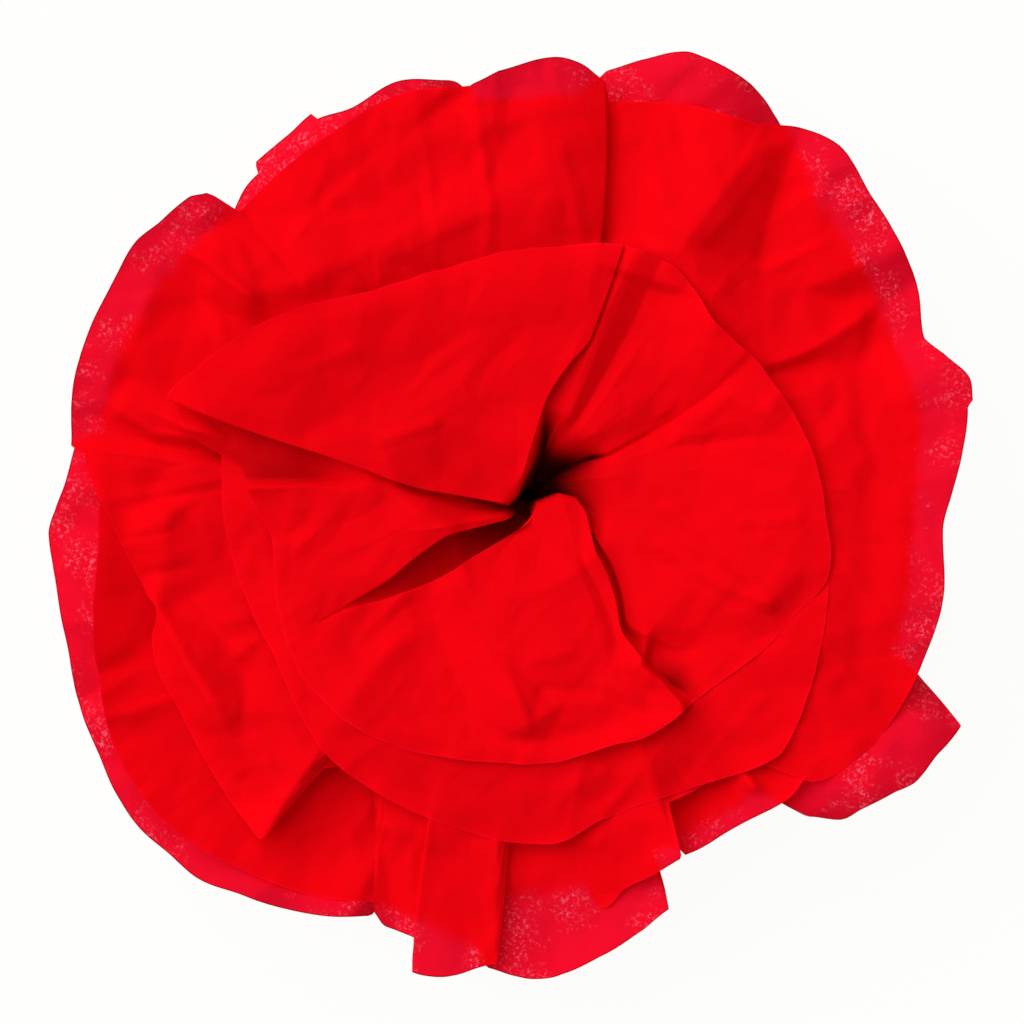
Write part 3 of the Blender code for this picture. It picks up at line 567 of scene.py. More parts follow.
def is_lobed(sheet):
    """Whether the sheet is the front one, whose folds start in the throat."""
    return isinstance(sheet.folds[0], Lobe)


def mixed(a, b, share):
    """a where the share is 0 and b where it is 1."""
    return a + (b - a) * share


def eased(share):
    """The share held between 0 and 1, with a soft start and end."""
    share = np.clip(share, 0, 1)
    return share * share * (3 - 2 * share)


def signed_step(start, end):
    """The short way round from one angle to another."""
    return (end - start + TURN / 2) % TURN - TURN / 2


def smoothed_round(values, spokes):
    """Values blurred round the clock, along their last axis, by a bell curve some spokes wide."""
    waves = np.fft.rfftfreq(values.shape[-1])
    bell = np.exp(-2 * (math.pi * waves * spokes) ** 2)
    return np.fft.irfft(np.fft.rfft(values, axis=-1) * bell, values.shape[-1], axis=-1)


def smoothed_out(values, rings):
    """Values blurred from ring to ring, along their first axis, by a bell curve some rings wide."""
    reach = math.ceil(BELL_REACH * rings)
    weights = np.exp(-0.5 * (np.arange(-reach, reach + 1) / rings) ** 2)
    weights /= weights.sum()
    padded = np.pad(values, ((reach, reach), (0, 0)), "edge")
    return sum(weight * padded[start:start + len(values)] for start, weight in enumerate(weights))


def blurred(values, blur):
    """Values of a grid blurred by a number of spokes and a number of rings."""
    spokes, rings = blur
    return smoothed_out(smoothed_round(values, spokes), rings)


def curve_through(before, start, end, after, share):
    """Catmull-Rom value between start and end."""
    return 0.5 * (
        2 * start
        + (end - before) * share
        + (2 * before - 5 * start + 4 * end - after) * share**2
        + (3 * start - before - 3 * end + after) * share**3
    )


def outline_reach(outline, angles):
    """Reach of the cut rim at each angle. The rim is smooth along a run and steps between runs."""
    at, reach, last = [], [], None
    for run in outline:
        grown = []
        for angle, value in run:
            while last is not None and angle < last - TURN / 2:
                angle += TURN
            last = angle
            grown.append((angle, value))
        for i in range(len(grown) - 1):
            (start, low), (end, high) = grown[i], grown[i + 1]
            before, after = grown[max(i - 1, 0)][1], grown[min(i + 2, len(grown) - 1)][1]
            for share in np.linspace(0, 1, OUTLINE_STEPS, endpoint=False):
                at.append(mixed(start, end, share))
                reach.append(curve_through(before, low, high, after, share))
        at.append(grown[-1][0])
        reach.append(grown[-1][1])
    return np.interp(angles, at, reach, period=TURN)


def fold_spans(rims):
    """Where each fold comes among the spokes, from the angles of the folds at the rim."""
    rims = np.array(rims, float)
    spans = np.maximum(abs(signed_step(rims, np.roll(rims, -1))), LEAST_SPAN)
    return np.concatenate([[0], np.cumsum(spans) / spans.sum() * SPOKES])


def along_folds(values, spans, softness, turning):
    """A value of each fold, carried straight from fold to fold over all spokes. Angles turn once round."""
    values = np.array(values, float)
    spoke = np.arange(SPOKES)
    if not turning:
        return smoothed_round(np.interp(spoke, spans, np.append(values, values[0])), softness)
    turned = np.cumsum(signed_step(values, np.roll(values, -1)))
    even = TURN * spoke / SPOKES
    wound = np.interp(spoke, spans, values[0] + np.concatenate([[0], turned]))
    return smoothed_round(wound - even, softness) + even


def far_point(fold):
    """Angle and lift of a front fold at the far reach: its own, or between those half-way and at the rim."""
    return fold.far or [mixed(*pair, FAR_SHARE) for pair in zip(fold.middle, fold.rim)]


def fold_stations(sheet):
    """The stations that the folds pass, each with its reach and every spoke's angle and lift there.

    The last station is the rim, whose reach is None.
    """
    if is_lobed(sheet):
        far = [far_point(fold) for fold in sheet.folds]
        waist = [fold.waist for fold in sheet.folds]
        middle = [fold.middle for fold in sheet.folds]
        rim = [fold.rim for fold in sheet.folds]
        stations = [(sheet.waist, waist), (MIDDLE_REACH, middle), (FAR_REACH, far), (None, rim)]
    else:
        share = math.sqrt(TUCK_REACH / sheet.waist)
        tuck = [(fold.waist_angle, fold.waist_lift * share) for fold in sheet.folds]
        waist = [(fold.waist_angle, fold.waist_lift) for fold in sheet.folds]
        rim = [(fold.rim_angle, fold.rim_lift) for fold in sheet.folds]
        stations = [(TUCK_REACH, tuck), (sheet.waist, waist), (None, rim)]
    spans = fold_spans([angle for angle, _ in rim])
    found = []
    for reach, points in stations:
        angle = along_folds([angle for angle, _ in points], spans, sheet.softness, True)
        lift = along_folds([lift for _, lift in points], spans, sheet.softness, False)
        if found:
            angle += TURN * round((found[0][1][0] - angle[0]) / TURN)
        found.append((reach, angle, lift))
    return found


def even_angles(stations):
    """Angle of every spoke in the neck, where they stand evenly round."""
    first_angle = stations[0][1][0]
    return first_angle + TURN * np.arange(SPOKES) / SPOKES


def tuck_points(sheet):
    """Plan place and height of every spoke where the lobes of the front sheet turn down into the throat."""
    rows = [(*from_photo(x, y, height), height) for x, y, height in (fold.tuck for fold in sheet.folds)]
    spans = fold_spans([fold.rim[0] for fold in sheet.folds])
    return np.array([along_folds(values, spans, sheet.softness, False) for values in zip(*rows)])


def at_stations(stations, reach, rim):
    """Angle and lift of every spoke at a reach, carried straight from station to station."""
    _, angle, lift = stations[0]
    for (start, start_angle, start_lift), (end, end_angle, end_lift) in zip(stations, stations[1:]):
        share = np.clip((reach - start) / ((rim if end is None else end) - start), 0, 1)
        angle = np.where(reach >= start, mixed(start_angle, end_angle, share), angle)
        lift = np.where(reach >= start, mixed(start_lift, end_lift, share), lift)
    return angle, lift


def level(sheet, reach):
    """Height of the unfolded sheet at a reach from the axis."""
    rise = 1 - np.exp(-(reach - neck_radius(sheet)) / sheet.run)
    return mixed(sheet.neck_top, sheet.crest, rise)


def from_photo(x, y, height):
    """Plan point in mm of a pixel of the photograph, on paper at that height."""
    scale = MM_PER_PIXEL * (CAMERA_HEIGHT - height) / (CAMERA_HEIGHT - PIXEL_HEIGHT)
    return (x - THROAT_PIXEL[0]) * scale, (THROAT_PIXEL[1] - y) * scale


def crease_height(x, y, start, end, lift, width):
    """Height that one straight crease adds: full on its line, and sloping away on all sides."""
    dx, dy = end[0] - start[0], end[1] - start[1]
    length = math.hypot(dx, dy)
    along = np.clip(((x - start[0]) * dx + (y - start[1]) * dy) / length**2, 0, 1)
    away = np.hypot(x - start[0] - along * dx, y - start[1] - along * dy)
    return lift * np.clip(1 - away / width, 0, 1)


def crease_network(sheet):
    """Points of the creases and of the ring round them, with their lifts and the edges between them."""
    points, lifts, edges = [], [], []
    for crease in sheet.creases:
        for number, (x, y, lift) in enumerate(crease):
            if number:
                edges.append((len(points) - 1, len(points)))
            points.append(Vector(from_photo(x, y, sheet.crest)))
            lifts.append(lift)
    for angle in np.radians(np.arange(0, TURN, FACET_END_TURN)):
        points.append(Vector((FACET_END * math.cos(angle), FACET_END * math.sin(angle))))
        lifts.append(0)
    return points, lifts, edges


def facet_height(sheet, x, y):
    """Height that the sheet's creases add, with flat facets stretched between them."""
    points, lifts, edges = crease_network(sheet)
    corners, _, faces, made_from, _, _ = delaunay_2d_cdt(points, edges, [], 0, SAME_POINT)
    lift_of = [lifts[sources[0]] for sources in made_from]
    total = np.zeros_like(x)
    for face in faces:
        (ax, ay), (bx, by), (cx, cy) = (corners[i] for i in face)
        area = (bx - ax) * (cy - ay) - (by - ay) * (cx - ax)
        if abs(area) < LEAST_AREA:
            continue
        toward_b = ((x - ax) * (cy - ay) - (y - ay) * (cx - ax)) / area
        toward_c = ((bx - ax) * (y - ay) - (by - ay) * (x - ax)) / area
        inside = (toward_b >= 0) & (toward_c >= 0) & (toward_b + toward_c <= 1)
        a, b, c = (lift_of[i] for i in face)
        total = np.where(inside, a + (b - a) * toward_b + (c - a) * toward_c, total)
    return blurred(total, FACET_BLUR)


def pinch_height(sheet, x, y):
    """Height that the sheet's pinched creases add."""
    total = np.zeros_like(x)
    for lift, run in sheet.pinches:
        placed = [from_photo(*pixel, sheet.crest) for pixel in run]
        pieces = [crease_height(x, y, start, end, 1, PINCH_WIDTH) for start, end in zip(placed, placed[1:])]
        total += lift * np.maximum.reduce(pieces)
    return total


def crumple_height(x, y, size, rng):
    """Heights, about 1 at most, of paper crumpled into uneven triangles of about that size in mm."""
    turn = rng.uniform(0, math.tau)
    across = x * math.cos(turn) - y * math.sin(turn)
    up = x * math.sin(turn) + y * math.cos(turn)
    for _ in range(CRUMPLE_BENDS):
        length = rng.uniform(*BEND_LENGTHS, 2) * size
        phase = rng.uniform(0, math.tau, 2)
        swing = rng.uniform(*BEND_SWINGS) * size
        bent_across = across + swing * np.sin(math.tau * up / length[0] + phase[0])
        up = up + swing * np.sin(math.tau * across / length[1] + phase[1])
        across = bent_across
    row = up / size * 2 / math.sqrt(3) + CRUMPLE_LATTICE / 2
    column = across / size - up / size / math.sqrt(3) + CRUMPLE_LATTICE / 2
    lifts = rng.normal(0, CRUMPLE_SPREAD, (CRUMPLE_LATTICE, CRUMPLE_LATTICE))
    i = np.floor(column).astype(int) % (CRUMPLE_LATTICE - 1)
    j = np.floor(row).astype(int) % (CRUMPLE_LATTICE - 1)
    a, b = column - np.floor(column), row - np.floor(row)
    near = lifts[i, j] + (lifts[i + 1, j] - lifts[i, j]) * a + (lifts[i, j + 1] - lifts[i, j]) * b
    far = lifts[i + 1, j + 1] + (lifts[i, j + 1] - lifts[i + 1, j + 1]) * (1 - a)
    far += (lifts[i + 1, j] - lifts[i + 1, j + 1]) * (1 - b)
    return np.where(a + b < 1, near, far)


def wave_round(angle, rng, wavelengths, amplitude):
    """A smooth wandering value round the clock."""
    total = np.zeros_like(angle)
    for _ in range(WAVES_ADDED):
        cycles = round(TURN / rng.uniform(*wavelengths))
        total += np.sin(np.radians(angle * cycles) + rng.uniform(0, math.tau))
    return total * amplitude / math.sqrt(WAVES_ADDED)


def ring_reaches(sheet, rim):
    """Reach of every spoke on each ring, from neck to rim, and how many rings lie inside the waist."""
    radius = neck_radius(sheet)
    cup_rings = round((sheet.waist - radius) / sheet.ring_step)
    outer_rings = round((rim.mean() - sheet.waist) / sheet.ring_step)
    cup_shares = [((ring + CUP_START) / cup_rings) ** CUP_CROWDING for ring in range(cup_rings)]
    reaches = [np.full(SPOKES, mixed(radius, sheet.waist, share)) for share in cup_shares]
    reaches += [mixed(sheet.waist, rim, ring / outer_rings) for ring in range(outer_rings + 1)]
    return np.array(reaches), cup_rings


def along_rings(sheet, stations, reach, rim):
    """Angle and lift of every point. Towards the neck all folds but the front sheet's fade out."""
    radius, even = neck_radius(sheet), even_angles(stations)
    angles, lifts = [], []
    for here in reach:
        tucked = 1 if is_lobed(sheet) else np.clip((here - radius) / (TUCK_REACH - radius), 0, 1)
        angle, lift = at_stations(stations, here, rim)
        angles.append(mixed(even, angle, eased(tucked)))
        lifts.append(lift * np.sqrt(tucked))
    return smoothed_out(np.array(angles), STATION_BLUR), smoothed_out(np.array(lifts), STATION_BLUR)


def tuck_lobes(sheet, places, lift, reach, even):
    """The front sheet's places, with its lobes led down from the waist to their tuck and on to the neck.

    The lift is that of the waist. It also gives how far each point there lies below the unfolded waist.
    """
    radius, turn = neck_radius(sheet), np.radians(even)
    cup_rings = np.count_nonzero(reach[:, 0] < sheet.waist)
    neck = np.array([radius * np.cos(turn), radius * np.sin(turn), np.full(SPOKES, sheet.neck_top)])
    tuck = tuck_points(sheet)
    waist = places[:, cup_rings]
    for ring, here in enumerate(reach[:cup_rings]):
        down = np.clip((here - radius) / (TUCK_REACH - radius), 0, 1)
        out = np.clip((here - TUCK_REACH) / (sheet.waist - TUCK_REACH), 0, 1)
        places[:, ring] = mixed(mixed(neck, tuck, down), waist, out)
    depth = waist[2] - lift - places[2, :cup_rings]
    rounded = np.array([smoothed_out(values, CUP_BLUR) for values in places])
    return mixed(places, rounded, eased((sheet.waist + CUP_FADE - reach) / CUP_FADE)), depth


def sheet_grid(sheet, rng):
    """Points of the sheet as an array of rings, spokes and x, y, z in mm, with two values for the material.

    They are each point's distance from the rim, and its painted shade from 0 to 1, which grows with how far
    down it lies in a pocket or hollow.
    """
    stations = fold_stations(sheet)
    rim_angle = stations[-1][1]
    rim = outline_reach(sheet.outline, rim_angle) + wave_round(rim_angle, rng, RIM_WAVES, RIM_WANDER)
    reach, cup_rings = ring_reaches(sheet, rim)
    angle, lift = along_rings(sheet, stations, reach, rim)
    even_rim = smoothed_round(rim, EVEN_RIM_BLUR)
    share = np.clip((reach - sheet.waist) / (even_rim - sheet.waist), 0, DROOP_MOST)
    droop = (sheet.rim_height - level(sheet, even_rim)) * share**DROOP_POWER
    turn = np.radians(angle)
    places = np.array([reach * np.cos(turn), reach * np.sin(turn), level(sheet, reach) + droop + lift])
    pocket = -lift
    if is_lobed(sheet):
        places, pocket[:cup_rings] = tuck_lobes(sheet, places, lift[cup_rings], reach, even_angles(stations))
    x, y, height = places
    for ridge in sheet.ridges:
        height += crease_height(x, y, (ridge.x1, ridge.y1), (ridge.x2, ridge.y2), ridge.lift, ridge.width)
    facets = facet_height(sheet, x, y)
    height += facets + pinch_height(sheet, x, y)
    for size, most in CRUMPLES:
        crumpled = crumple_height(x, y, size, rng) * most * sheet.crumple
        height += crumpled * eased((reach - CRUMPLE_FROM) / CRUMPLE_FADE)
    from_rim = rim - reach
    curl = wave_round(rim_angle, rng, CURL_WAVES, CURL) * np.exp(-(((rim - even_rim) / CURL_STEP) ** 2))
    height += curl * np.clip(1 - from_rim / CURL_WIDTH, 0, 1) ** 2
    # Painted shade from 0 to 1, where the paper lies far down in a pocket by the throat or a hollow of the
    # creases.
    pocket = eased((pocket - POCKET_FROM) / POCKET_DEPTH) * eased((POCKET_REACH - reach) / POCKET_FADE)
    hollow = eased((-facets - HOLLOW_FROM) / HOLLOW_DEPTH)
    return np.stack([x, y, height], -1), from_rim, np.maximum(pocket, hollow)


def grid_faces(rings, spokes):
    """Quads between the rings, as indexes into the rings laid end to end."""
    ring, spoke = np.meshgrid(np.arange(rings - 1), np.arange(spokes), indexing="ij")
    start, end = ring * spokes, (ring + 1) * spokes
    following = (spoke + 1) % spokes
    return np.stack((start + spoke, end + spoke, end + following, start + following), -1).reshape(-1, 4)


def surface_tree(grids):
    """One search tree over the surfaces of some grids."""
    points, faces, start = [], [], 0
    for grid in grids:
        points.append(grid.reshape(-1, 3))
        faces.append(grid_faces(*grid.shape[:2]) + start)
        start += len(points[-1])
    return BVHTree.FromPolygons(np.concatenate(points).tolist(), np.concatenate(faces).tolist())


def hit_heights(tree, points, direction, start=None):
    """Height of the first surface that each point's vertical line meets, or nan.

    The lines go up (1) or down (-1), from the points or, where it is given, from the start height.
    """
    found = np.full(len(points), np.nan)
    toward = Vector((0, 0, direction))
    for i, (x, y, z) in enumerate(points):
        hit = tree.ray_cast((x, y, z if start is None else start), toward)[0]
        if hit is not None:
            found[i] = hit.z
    return found


def least_gap(from_rim):
    """Least height of a sheet above the one below: the rims lie close on it."""
    return mixed(RIM_AIR, PAPER + AIR, eased(from_rim / RIM_WIDTH))


def lay_over(grid, from_rim, lower):
    """Raises the grid smoothly until it clears what lies below it."""
    least = least_gap(from_rim)
    tree = surface_tree(lower)
    for _ in range(LAY_ROUNDS):
        top = hit_heights(tree, grid.reshape(-1, 3).tolist(), -1, RAY_START).reshape(grid.shape[:2])
        need = np.nan_to_num(np.maximum(top + least - grid[..., 2], 0))
        need[np.hypot(grid[..., 0], grid[..., 1]) < AIR_FROM] = 0
        rise = need
        for _ in range(SPREAD_ROUNDS):
            rise = np.maximum(need, blurred(rise, SPREAD_BLUR))
        grid[..., 2] += blurred(rise, LAY_BLUR)


def settle_rim(grid, from_rim, lower):
    """Lowers the sheet near its rim until it lies closer on what is below."""
    below = hit_heights(surface_tree(lower), grid.reshape(-1, 3).tolist(), -1).reshape(grid.shape[:2])
    gap = np.nan_to_num(np.maximum(grid[..., 2] - below - least_gap(from_rim), 0))
    drop = gap * SETTLE_SHARE * eased(1 - from_rim / SETTLE_REACH)
    grid[..., 2] -= blurred(drop, SETTLE_BLUR)


def meet_rim(grid, upper):
    """Lifts the sheet round the rim of a sheet that lies over it, so that no gap shows there."""
    rim = upper[-1]
    below = hit_heights(surface_tree([grid]), rim.tolist(), -1)
    gaps = np.where(np.isnan(below), 0, rim[:, 2] - below - PAPER - RIM_AIR)
    lifts = smoothed_round(np.clip(gaps, 0, MEET_MOST), MEET_RIM_BLUR)
    tree = KDTree(len(rim))
    for i, (x, y, _) in enumerate(rim):
        tree.insert((x, y, 0), i)
    tree.balance()
    swell = np.zeros(grid.shape[:2])
    for place in np.ndindex(swell.shape):
        x, y, _ = grid[place]
        _, nearest, distance = tree.find((x, y, 0))
        if distance < MEET_REACH:
            swell[place] = lifts[nearest] * eased(1 - distance / MEET_REACH)
    grid[..., 2] += blurred(swell, MEET_BLUR)


def single_layer(grid, others):
    """1 where no other sheet lies above or below, 0 where one does, with a soft edge."""
    tree = surface_tree(others)
    points = grid.reshape(-1, 3).tolist()
    below, above = hit_heights(tree, points, -1), hit_heights(tree, points, 1)
    alone = (np.isnan(below) & np.isnan(above)).astype(float).reshape(grid.shape[:2])
    return blurred(alone, ALONE_BLUR)


def neck_rings(sheet):
    """The gathered neck, from its end up to the throat, with soft pleats in its lower part."""
    even = even_angles(fold_stations(sheet))
    turn = np.radians(even)
    rings = []
    for share in np.linspace(0, 1, NECK_RINGS, endpoint=False):
        swell = PLEAT_DEPTH * np.cos(np.radians(even * NECK_PLEATS))
        radius = neck_radius(sheet) + swell * math.sin(math.pi * min(share * PLEATED_LENGTHS, 1))
        height = np.full(SPOKES, mixed(neck_end(sheet), sheet.neck_top, share))
        rings.append(np.stack([radius * np.cos(turn), radius * np.sin(turn), height], -1))
    return np.array(rings)


def linked_object(name, points, faces, material):
    """A smooth object of points in millimetres and faces, riding on the part's one body."""
    mesh = bpy.data.meshes.new(name)
    mesh.from_pydata((points * MM).tolist(), [], faces)
    mesh.materials.append(material)
    mesh.shade_smooth()
    obj = bpy.data.objects.new(name, mesh)
    bpy.context.scene.collection.objects.link(obj)
    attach(obj, "root")
    return obj


def build_sheet(sheet, grid, from_rim, alone, painted_shade, material):
    """One sheet of paper, from the cap at the neck's end to the rim."""
    neck = neck_rings(sheet)
    cap = np.array([[0, 0, neck_end(sheet)]])
    points = np.concatenate([neck.reshape(-1, 3), grid.reshape(-1, 3), cap])
    faces = grid_faces(len(neck) + len(grid), SPOKES).tolist()
    faces += [(len(points) - 1, spoke, (spoke + 1) % SPOKES) for spoke in range(SPOKES)]
    obj = linked_object(sheet.name + "_paper", points, faces, material)
    # The material reads the distance from the rim, where a sheet lies alone, and the painted shade of a
    # pocket or hollow.
    columns = {"from_rim": (from_rim, NECK_FROM_RIM), "alone": (alone, 0.0), "painted_shade": (painted_shade, 1.0)}
    for name, (values, in_neck) in columns.items():
        filler = np.full(len(neck) * SPOKES, in_neck)
        column = np.concatenate([filler, values.reshape(-1), [in_neck]]).astype(np.float32)
        obj.data.attributes.new(name, "FLOAT", "POINT").data.foreach_set("value", column)
    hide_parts(sheet.name)


def build_tie(material):
    """The wire wound round the neck of the sheet at the back: a smooth tube with rounded ends."""
    wire_radius = WIRE_DIAMETER / 2
    radius = neck_radius(SHEETS[-1]) + PAPER / 2 + WIRE_CLEARANCE + wire_radius
    around = np.arange(WIRE_SIDES) * math.tau / WIRE_SIDES
    bends = np.linspace(0, math.pi / 2, WIRE_END_RINGS, endpoint=False)
    tip = wire_radius / (math.tau * radius)
    turns = np.linspace(0, WIRE_TURNS, WIRE_TURNS * WIRE_STEPS_PER_TURN + 1)
    stations = [(-tip * math.cos(bend), math.sin(bend)) for bend in bends]
    stations += [(turn, 1) for turn in turns]
    stations += [(WIRE_TURNS + tip * math.cos(bend), math.sin(bend)) for bend in bends[::-1]]
    rings = []
    for turn, share in stations:
        centre = WIRE_LOWEST + wire_radius + (WIRE_DIAMETER + WIRE_GAP) * turn
        reach = radius + wire_radius * share * np.cos(around)
        angle = math.tau * turn
        height = centre + wire_radius * share * np.sin(around)
        rings.append(np.stack([reach * math.cos(angle), reach * math.sin(angle), height], -1))
    faces = grid_faces(len(rings), WIRE_SIDES).tolist()
    obj = linked_object("neck_tie_wire", np.concatenate(rings), faces, material)
    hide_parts("neck_tie")


def shaded(name):
    """A new material, with its nodes, links and Principled shader."""
    material = bpy.data.materials.new(name)
    material.use_nodes = True
    nodes, links = material.node_tree.nodes, material.node_tree.links
    return material, nodes, links, nodes["Principled BSDF"]


def math_node(nodes, links, operation, a, b):
    node = nodes.new("ShaderNodeMath")
    node.operation = operation
    for socket, value in zip(node.inputs, (a, b)):
        if isinstance(value, (int, float)):
            socket.default_value = value
        else:
            links.new(value, socket)
    return node.outputs[0]


def noise_node(nodes, links, noise):
    """A noise over the object's own coordinates, in metres."""
    node = nodes.new("ShaderNodeTexNoise")
    for name, value in zip(("Scale", "Detail", "Roughness", "Distortion"), noise):
        node.inputs[name].default_value = value
    links.new(nodes.new("ShaderNodeTexCoord").outputs["Object"], node.inputs["Vector"])
    return node.outputs["Fac"]


def attribute_node(nodes, name):
    node = nodes.new("ShaderNodeAttribute")
    node.attribute_name = name
    return node.outputs["Fac"]


def ramp(nodes, links, value, limits):
    """0 below the lower limit, 1 above the upper one, and smooth between."""
    node = nodes.new("ShaderNodeMapRange")
    node.interpolation_type = "SMOOTHSTEP"
    node.inputs["From Min"].default_value, node.inputs["From Max"].default_value = limits
    links.new(value, node.inputs["Value"])
    return node.outputs["Result"]


def colour_mix(nodes, links, share, a, b):
    """The colour a where the share is 0 and b where it is 1. Each is a colour or a socket."""
    node = nodes.new("ShaderNodeMix")
    node.data_type = "RGBA"
    links.new(share, node.inputs["Factor"])
    for number, value in zip(MIX_INPUTS, (a, b)):
        if isinstance(value, tuple):
            node.inputs[number].default_value = value
        else:
            links.new(value, node.inputs[number])
    return node.outputs[MIX_OUTPUT]


def add_bump(nodes, links, shader, height, settings):
    bump = nodes.new("ShaderNodeBump")
    bump.inputs["Strength"].default_value, bump.inputs["Distance"].default_value = settings
    links.new(height, bump.inputs["Height"])
    links.new(bump.outputs["Normal"], shader.inputs["Normal"])


def mixed_surface(nodes, links, share, first, second):
    """Makes the material's surface of the first shader and a share of the second."""
    both = nodes.new("ShaderNodeMixShader")
    if isinstance(share, float):
        both.inputs["Fac"].default_value = share
    else:
        links.new(share, both.inputs["Fac"])
    links.new(first, both.inputs[1])
    links.new(second, both.inputs[2])
    links.new(both.outputs["Shader"], nodes["Material Output"].inputs["Surface"])


def tissue_material():
    """Red tissue paper: pale fibres where one sheet lies alone, a dark cut edge, a painted highlight along
    the rims that lie on another sheet, and painted shade in the pocket by the throat and in hollows of
    creases.
    """
    material, nodes, links, shader = shaded("red_tissue_paper")
    alone = attribute_node(nodes, "alone")
    from_rim = attribute_node(nodes, "from_rim")
    clumps = ramp(nodes, links, noise_node(nodes, links, CLUMPS), CLUMP_RANGE)
    specks = ramp(nodes, links, noise_node(nodes, links, SPECKS), SPECK_RANGE)
    fibres = math_node(nodes, links, "MULTIPLY", clumps, specks)
    pale = math_node(nodes, links, "MULTIPLY", fibres, alone)
    rosy = colour_mix(nodes, links, alone, TISSUE_RED, SINGLE_RED)
    specked = colour_mix(nodes, links, pale, rosy, FIBRE_PINK)
    # A painted highlight: a thin brighter line along the rim, where the sheet lies on another one.
    past_rim_highlight = math_node(nodes, links, "MAXIMUM", ramp(nodes, links, from_rim, RIM_HIGHLIGHT_FADE), alone)
    rim_highlighted = colour_mix(nodes, links, past_rim_highlight, RIM_HIGHLIGHT_RED, specked)
    covered = math_node(nodes, links, "SUBTRACT", 1.0, alone)
    inside_cut = math_node(nodes, links, "MAXIMUM", ramp(nodes, links, from_rim, CUT_FADE), covered)
    cut = colour_mix(nodes, links, inside_cut, CUT_EDGE, rim_highlighted)
    # Painted shade: the paper turns nearly black in the pocket by the throat and in hollows of the creases.
    darkened = colour_mix(nodes, links, attribute_node(nodes, "painted_shade"), cut, POCKET_SHADE_RED)
    links.new(darkened, shader.inputs["Base Color"])
    shader.inputs["Roughness"].default_value = TISSUE_ROUGHNESS
    shader.inputs["Specular IOR Level"].default_value = TISSUE_SPECULAR
    add_bump(nodes, links, shader, noise_node(nodes, links, GRAIN), GRAIN_BUMP)
    through = nodes.new("ShaderNodeBsdfTranslucent")
    through.inputs["Color"].default_value = THROUGH_RED
    mixed_surface(nodes, links, THROUGH_SHARE, shader.outputs["BSDF"], through.outputs["BSDF"])
    return material


def wire_material():
    """Green florist's wire: thin paper wound on steel, a little worn."""
    material, nodes, links, shader = shaded("green_wire")
    wear = ramp(nodes, links, noise_node(nodes, links, WEAR), WEAR_RANGE)
    links.new(colour_mix(nodes, links, wear, WIRE_GREEN, WORN_GREEN), shader.inputs["Base Color"])
    shader.inputs["Roughness"].default_value = WIRE_ROUGHNESS
    add_bump(nodes, links, shader, noise_node(nodes, links, WRAPPING), WRAPPING_BUMP)
    return material


def floor_material():
    """A pale floor that looks nearly white, and lights the paper only by what it reflects."""
    material, nodes, links, shader = shaded("floor_white")
    shader.inputs["Base Color"].default_value = FLOOR_GREY
    shader.inputs["Roughness"].default_value = FLOOR_ROUGHNESS
    shader.inputs["Specular IOR Level"].default_value = 0.0
    glow = nodes.new("ShaderNodeEmission")
    glow.inputs["Color"].default_value = GLOW_WHITE
    glow.inputs["Strength"].default_value = 1.0
    path = nodes.new("ShaderNodeLightPath").outputs
    seen = math_node(nodes, links, "MAXIMUM", path["Is Camera Ray"], path["Is Glossy Ray"])
    seen = math_node(nodes, links, "MAXIMUM", seen, path["Is Transmission Ray"])
    share = math_node(nodes, links, "MULTIPLY", seen, GLOW_SHARE)
    mixed_surface(nodes, links, share, shader.outputs["BSDF"], glow.outputs["Emission"])
    return material


def add_floor():
    mesh = bpy.data.meshes.new("floor")
    corners = [(x * FLOOR_HALF, y * FLOOR_HALF, 0) for x, y in ((-1, -1), (1, -1), (1, 1), (-1, 1))]
    mesh.from_pydata(corners, [], [(0, 1, 2, 3)])
    mesh.materials.append(floor_material())
    floor = bpy.data.objects.new("floor", mesh)
    bpy.context.scene.collection.objects.link(floor)


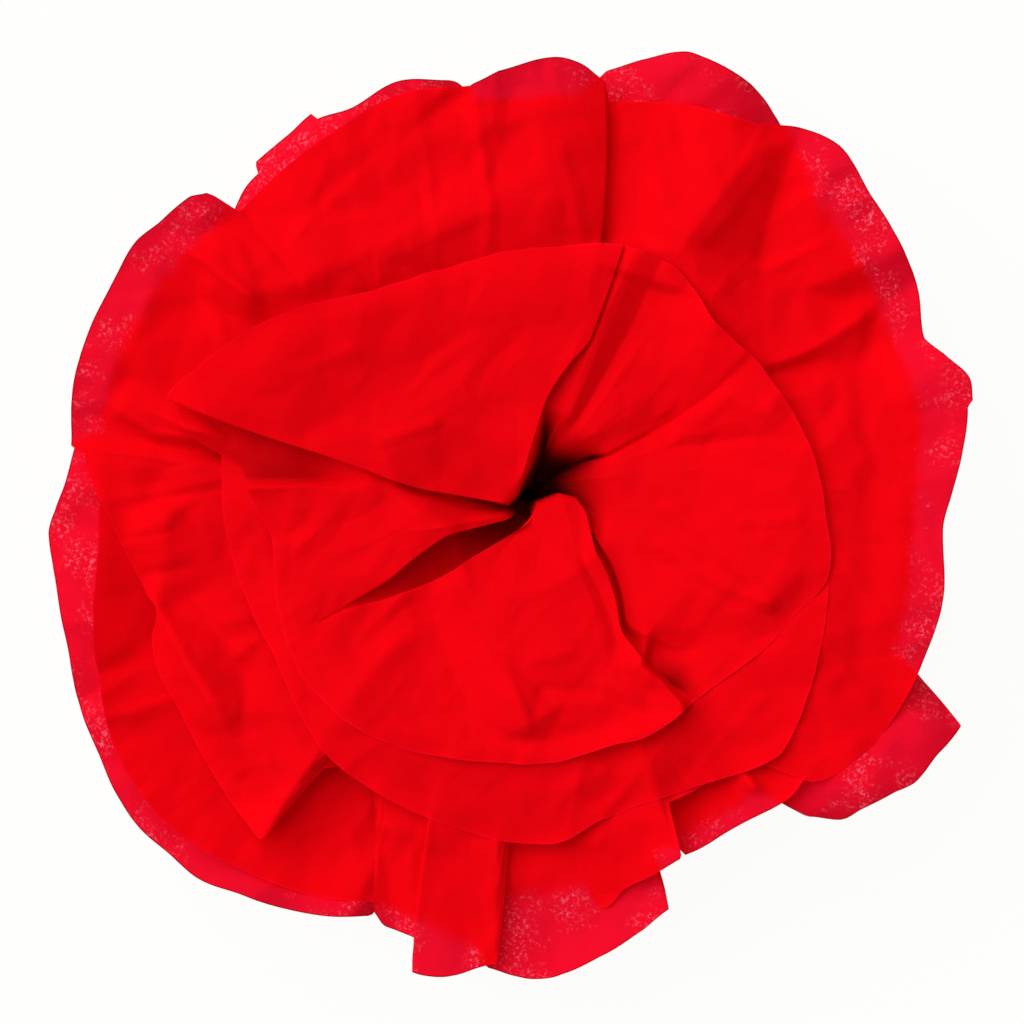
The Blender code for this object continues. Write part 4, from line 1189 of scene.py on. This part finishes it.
def add_light():
    """The photograph's light: a soft lamp at the upper left, and an even white sky."""
    world = bpy.data.worlds.new("studio")
    bpy.context.scene.world = world
    world.use_nodes = True
    background = world.node_tree.nodes["Background"]
    background.inputs["Color"].default_value = SKY_WHITE
    background.inputs["Strength"].default_value = SKY_STRENGTH
    light = bpy.data.lights.new("key", "AREA")
    light.shape = "DISK"
    light.size = LAMP_SIZE
    light.energy = LAMP_ENERGY
    lamp = bpy.data.objects.new("key", light)
    lamp.location = LAMP_PLACE
    lamp.rotation_euler = (Vector(LAMP_AIM) - lamp.location).to_track_quat("-Z", "Y").to_euler()
    bpy.context.scene.collection.objects.link(lamp)


def add_camera():
    """A camera that looks straight down, with the throat at the photograph's pixel."""
    camera = bpy.data.cameras.new("camera")
    camera.sensor_width = SENSOR_WIDTH
    camera.lens = SENSOR_WIDTH * (CAMERA_HEIGHT - PIXEL_HEIGHT) / (FRAME_PIXELS * MM_PER_PIXEL)
    camera.shift_x = (FRAME_PIXELS / 2 - THROAT_PIXEL[0]) / FRAME_PIXELS
    camera.shift_y = (THROAT_PIXEL[1] - FRAME_PIXELS / 2) / FRAME_PIXELS
    camera.clip_end = CAMERA_SIGHT
    view = bpy.data.objects.new("camera", camera)
    view.location = (0, 0, CAMERA_HEIGHT * MM)
    bpy.context.scene.collection.objects.link(view)
    bpy.context.scene.camera = view
    bpy.context.scene.view_settings.view_transform = "Standard"


def shaped_grids():
    """Grids of all sheets laid on each other, their distances from the rim and their painted shade, by name.
    """
    grids, rims, painted_shades = {}, {}, {}
    for sheet in reversed(SHEETS):
        grid, from_rim, painted_shade = sheet_grid(sheet, np.random.default_rng(FIRST_SEED + sheet.order))
        if grids:
            settle_rim(grid, from_rim, list(grids.values()))
            lay_over(grid, from_rim, list(grids.values()))
        grids[sheet.name], rims[sheet.name], painted_shades[sheet.name] = grid, from_rim, painted_shade
    for number, sheet in enumerate(SHEETS):
        for upper in SHEETS[max(number - MEET_SHEETS, 0):number]:
            meet_rim(grids[sheet.name], grids[upper.name])
    laid = []
    for sheet in reversed(SHEETS):
        if laid:
            lay_over(grids[sheet.name], rims[sheet.name], laid)
        laid.append(grids[sheet.name])
    return grids, rims, painted_shades


def main():
    add_floor()
    add_light()
    add_camera()
    paper = tissue_material()
    grids, rims, painted_shades = shaped_grids()
    for sheet in SHEETS:
        others = [grid for name, grid in grids.items() if name != sheet.name]
        alone = single_layer(grids[sheet.name], others)
        build_sheet(sheet, grids[sheet.name], rims[sheet.name], alone, painted_shades[sheet.name], paper)
    build_tie(wire_material())


main()
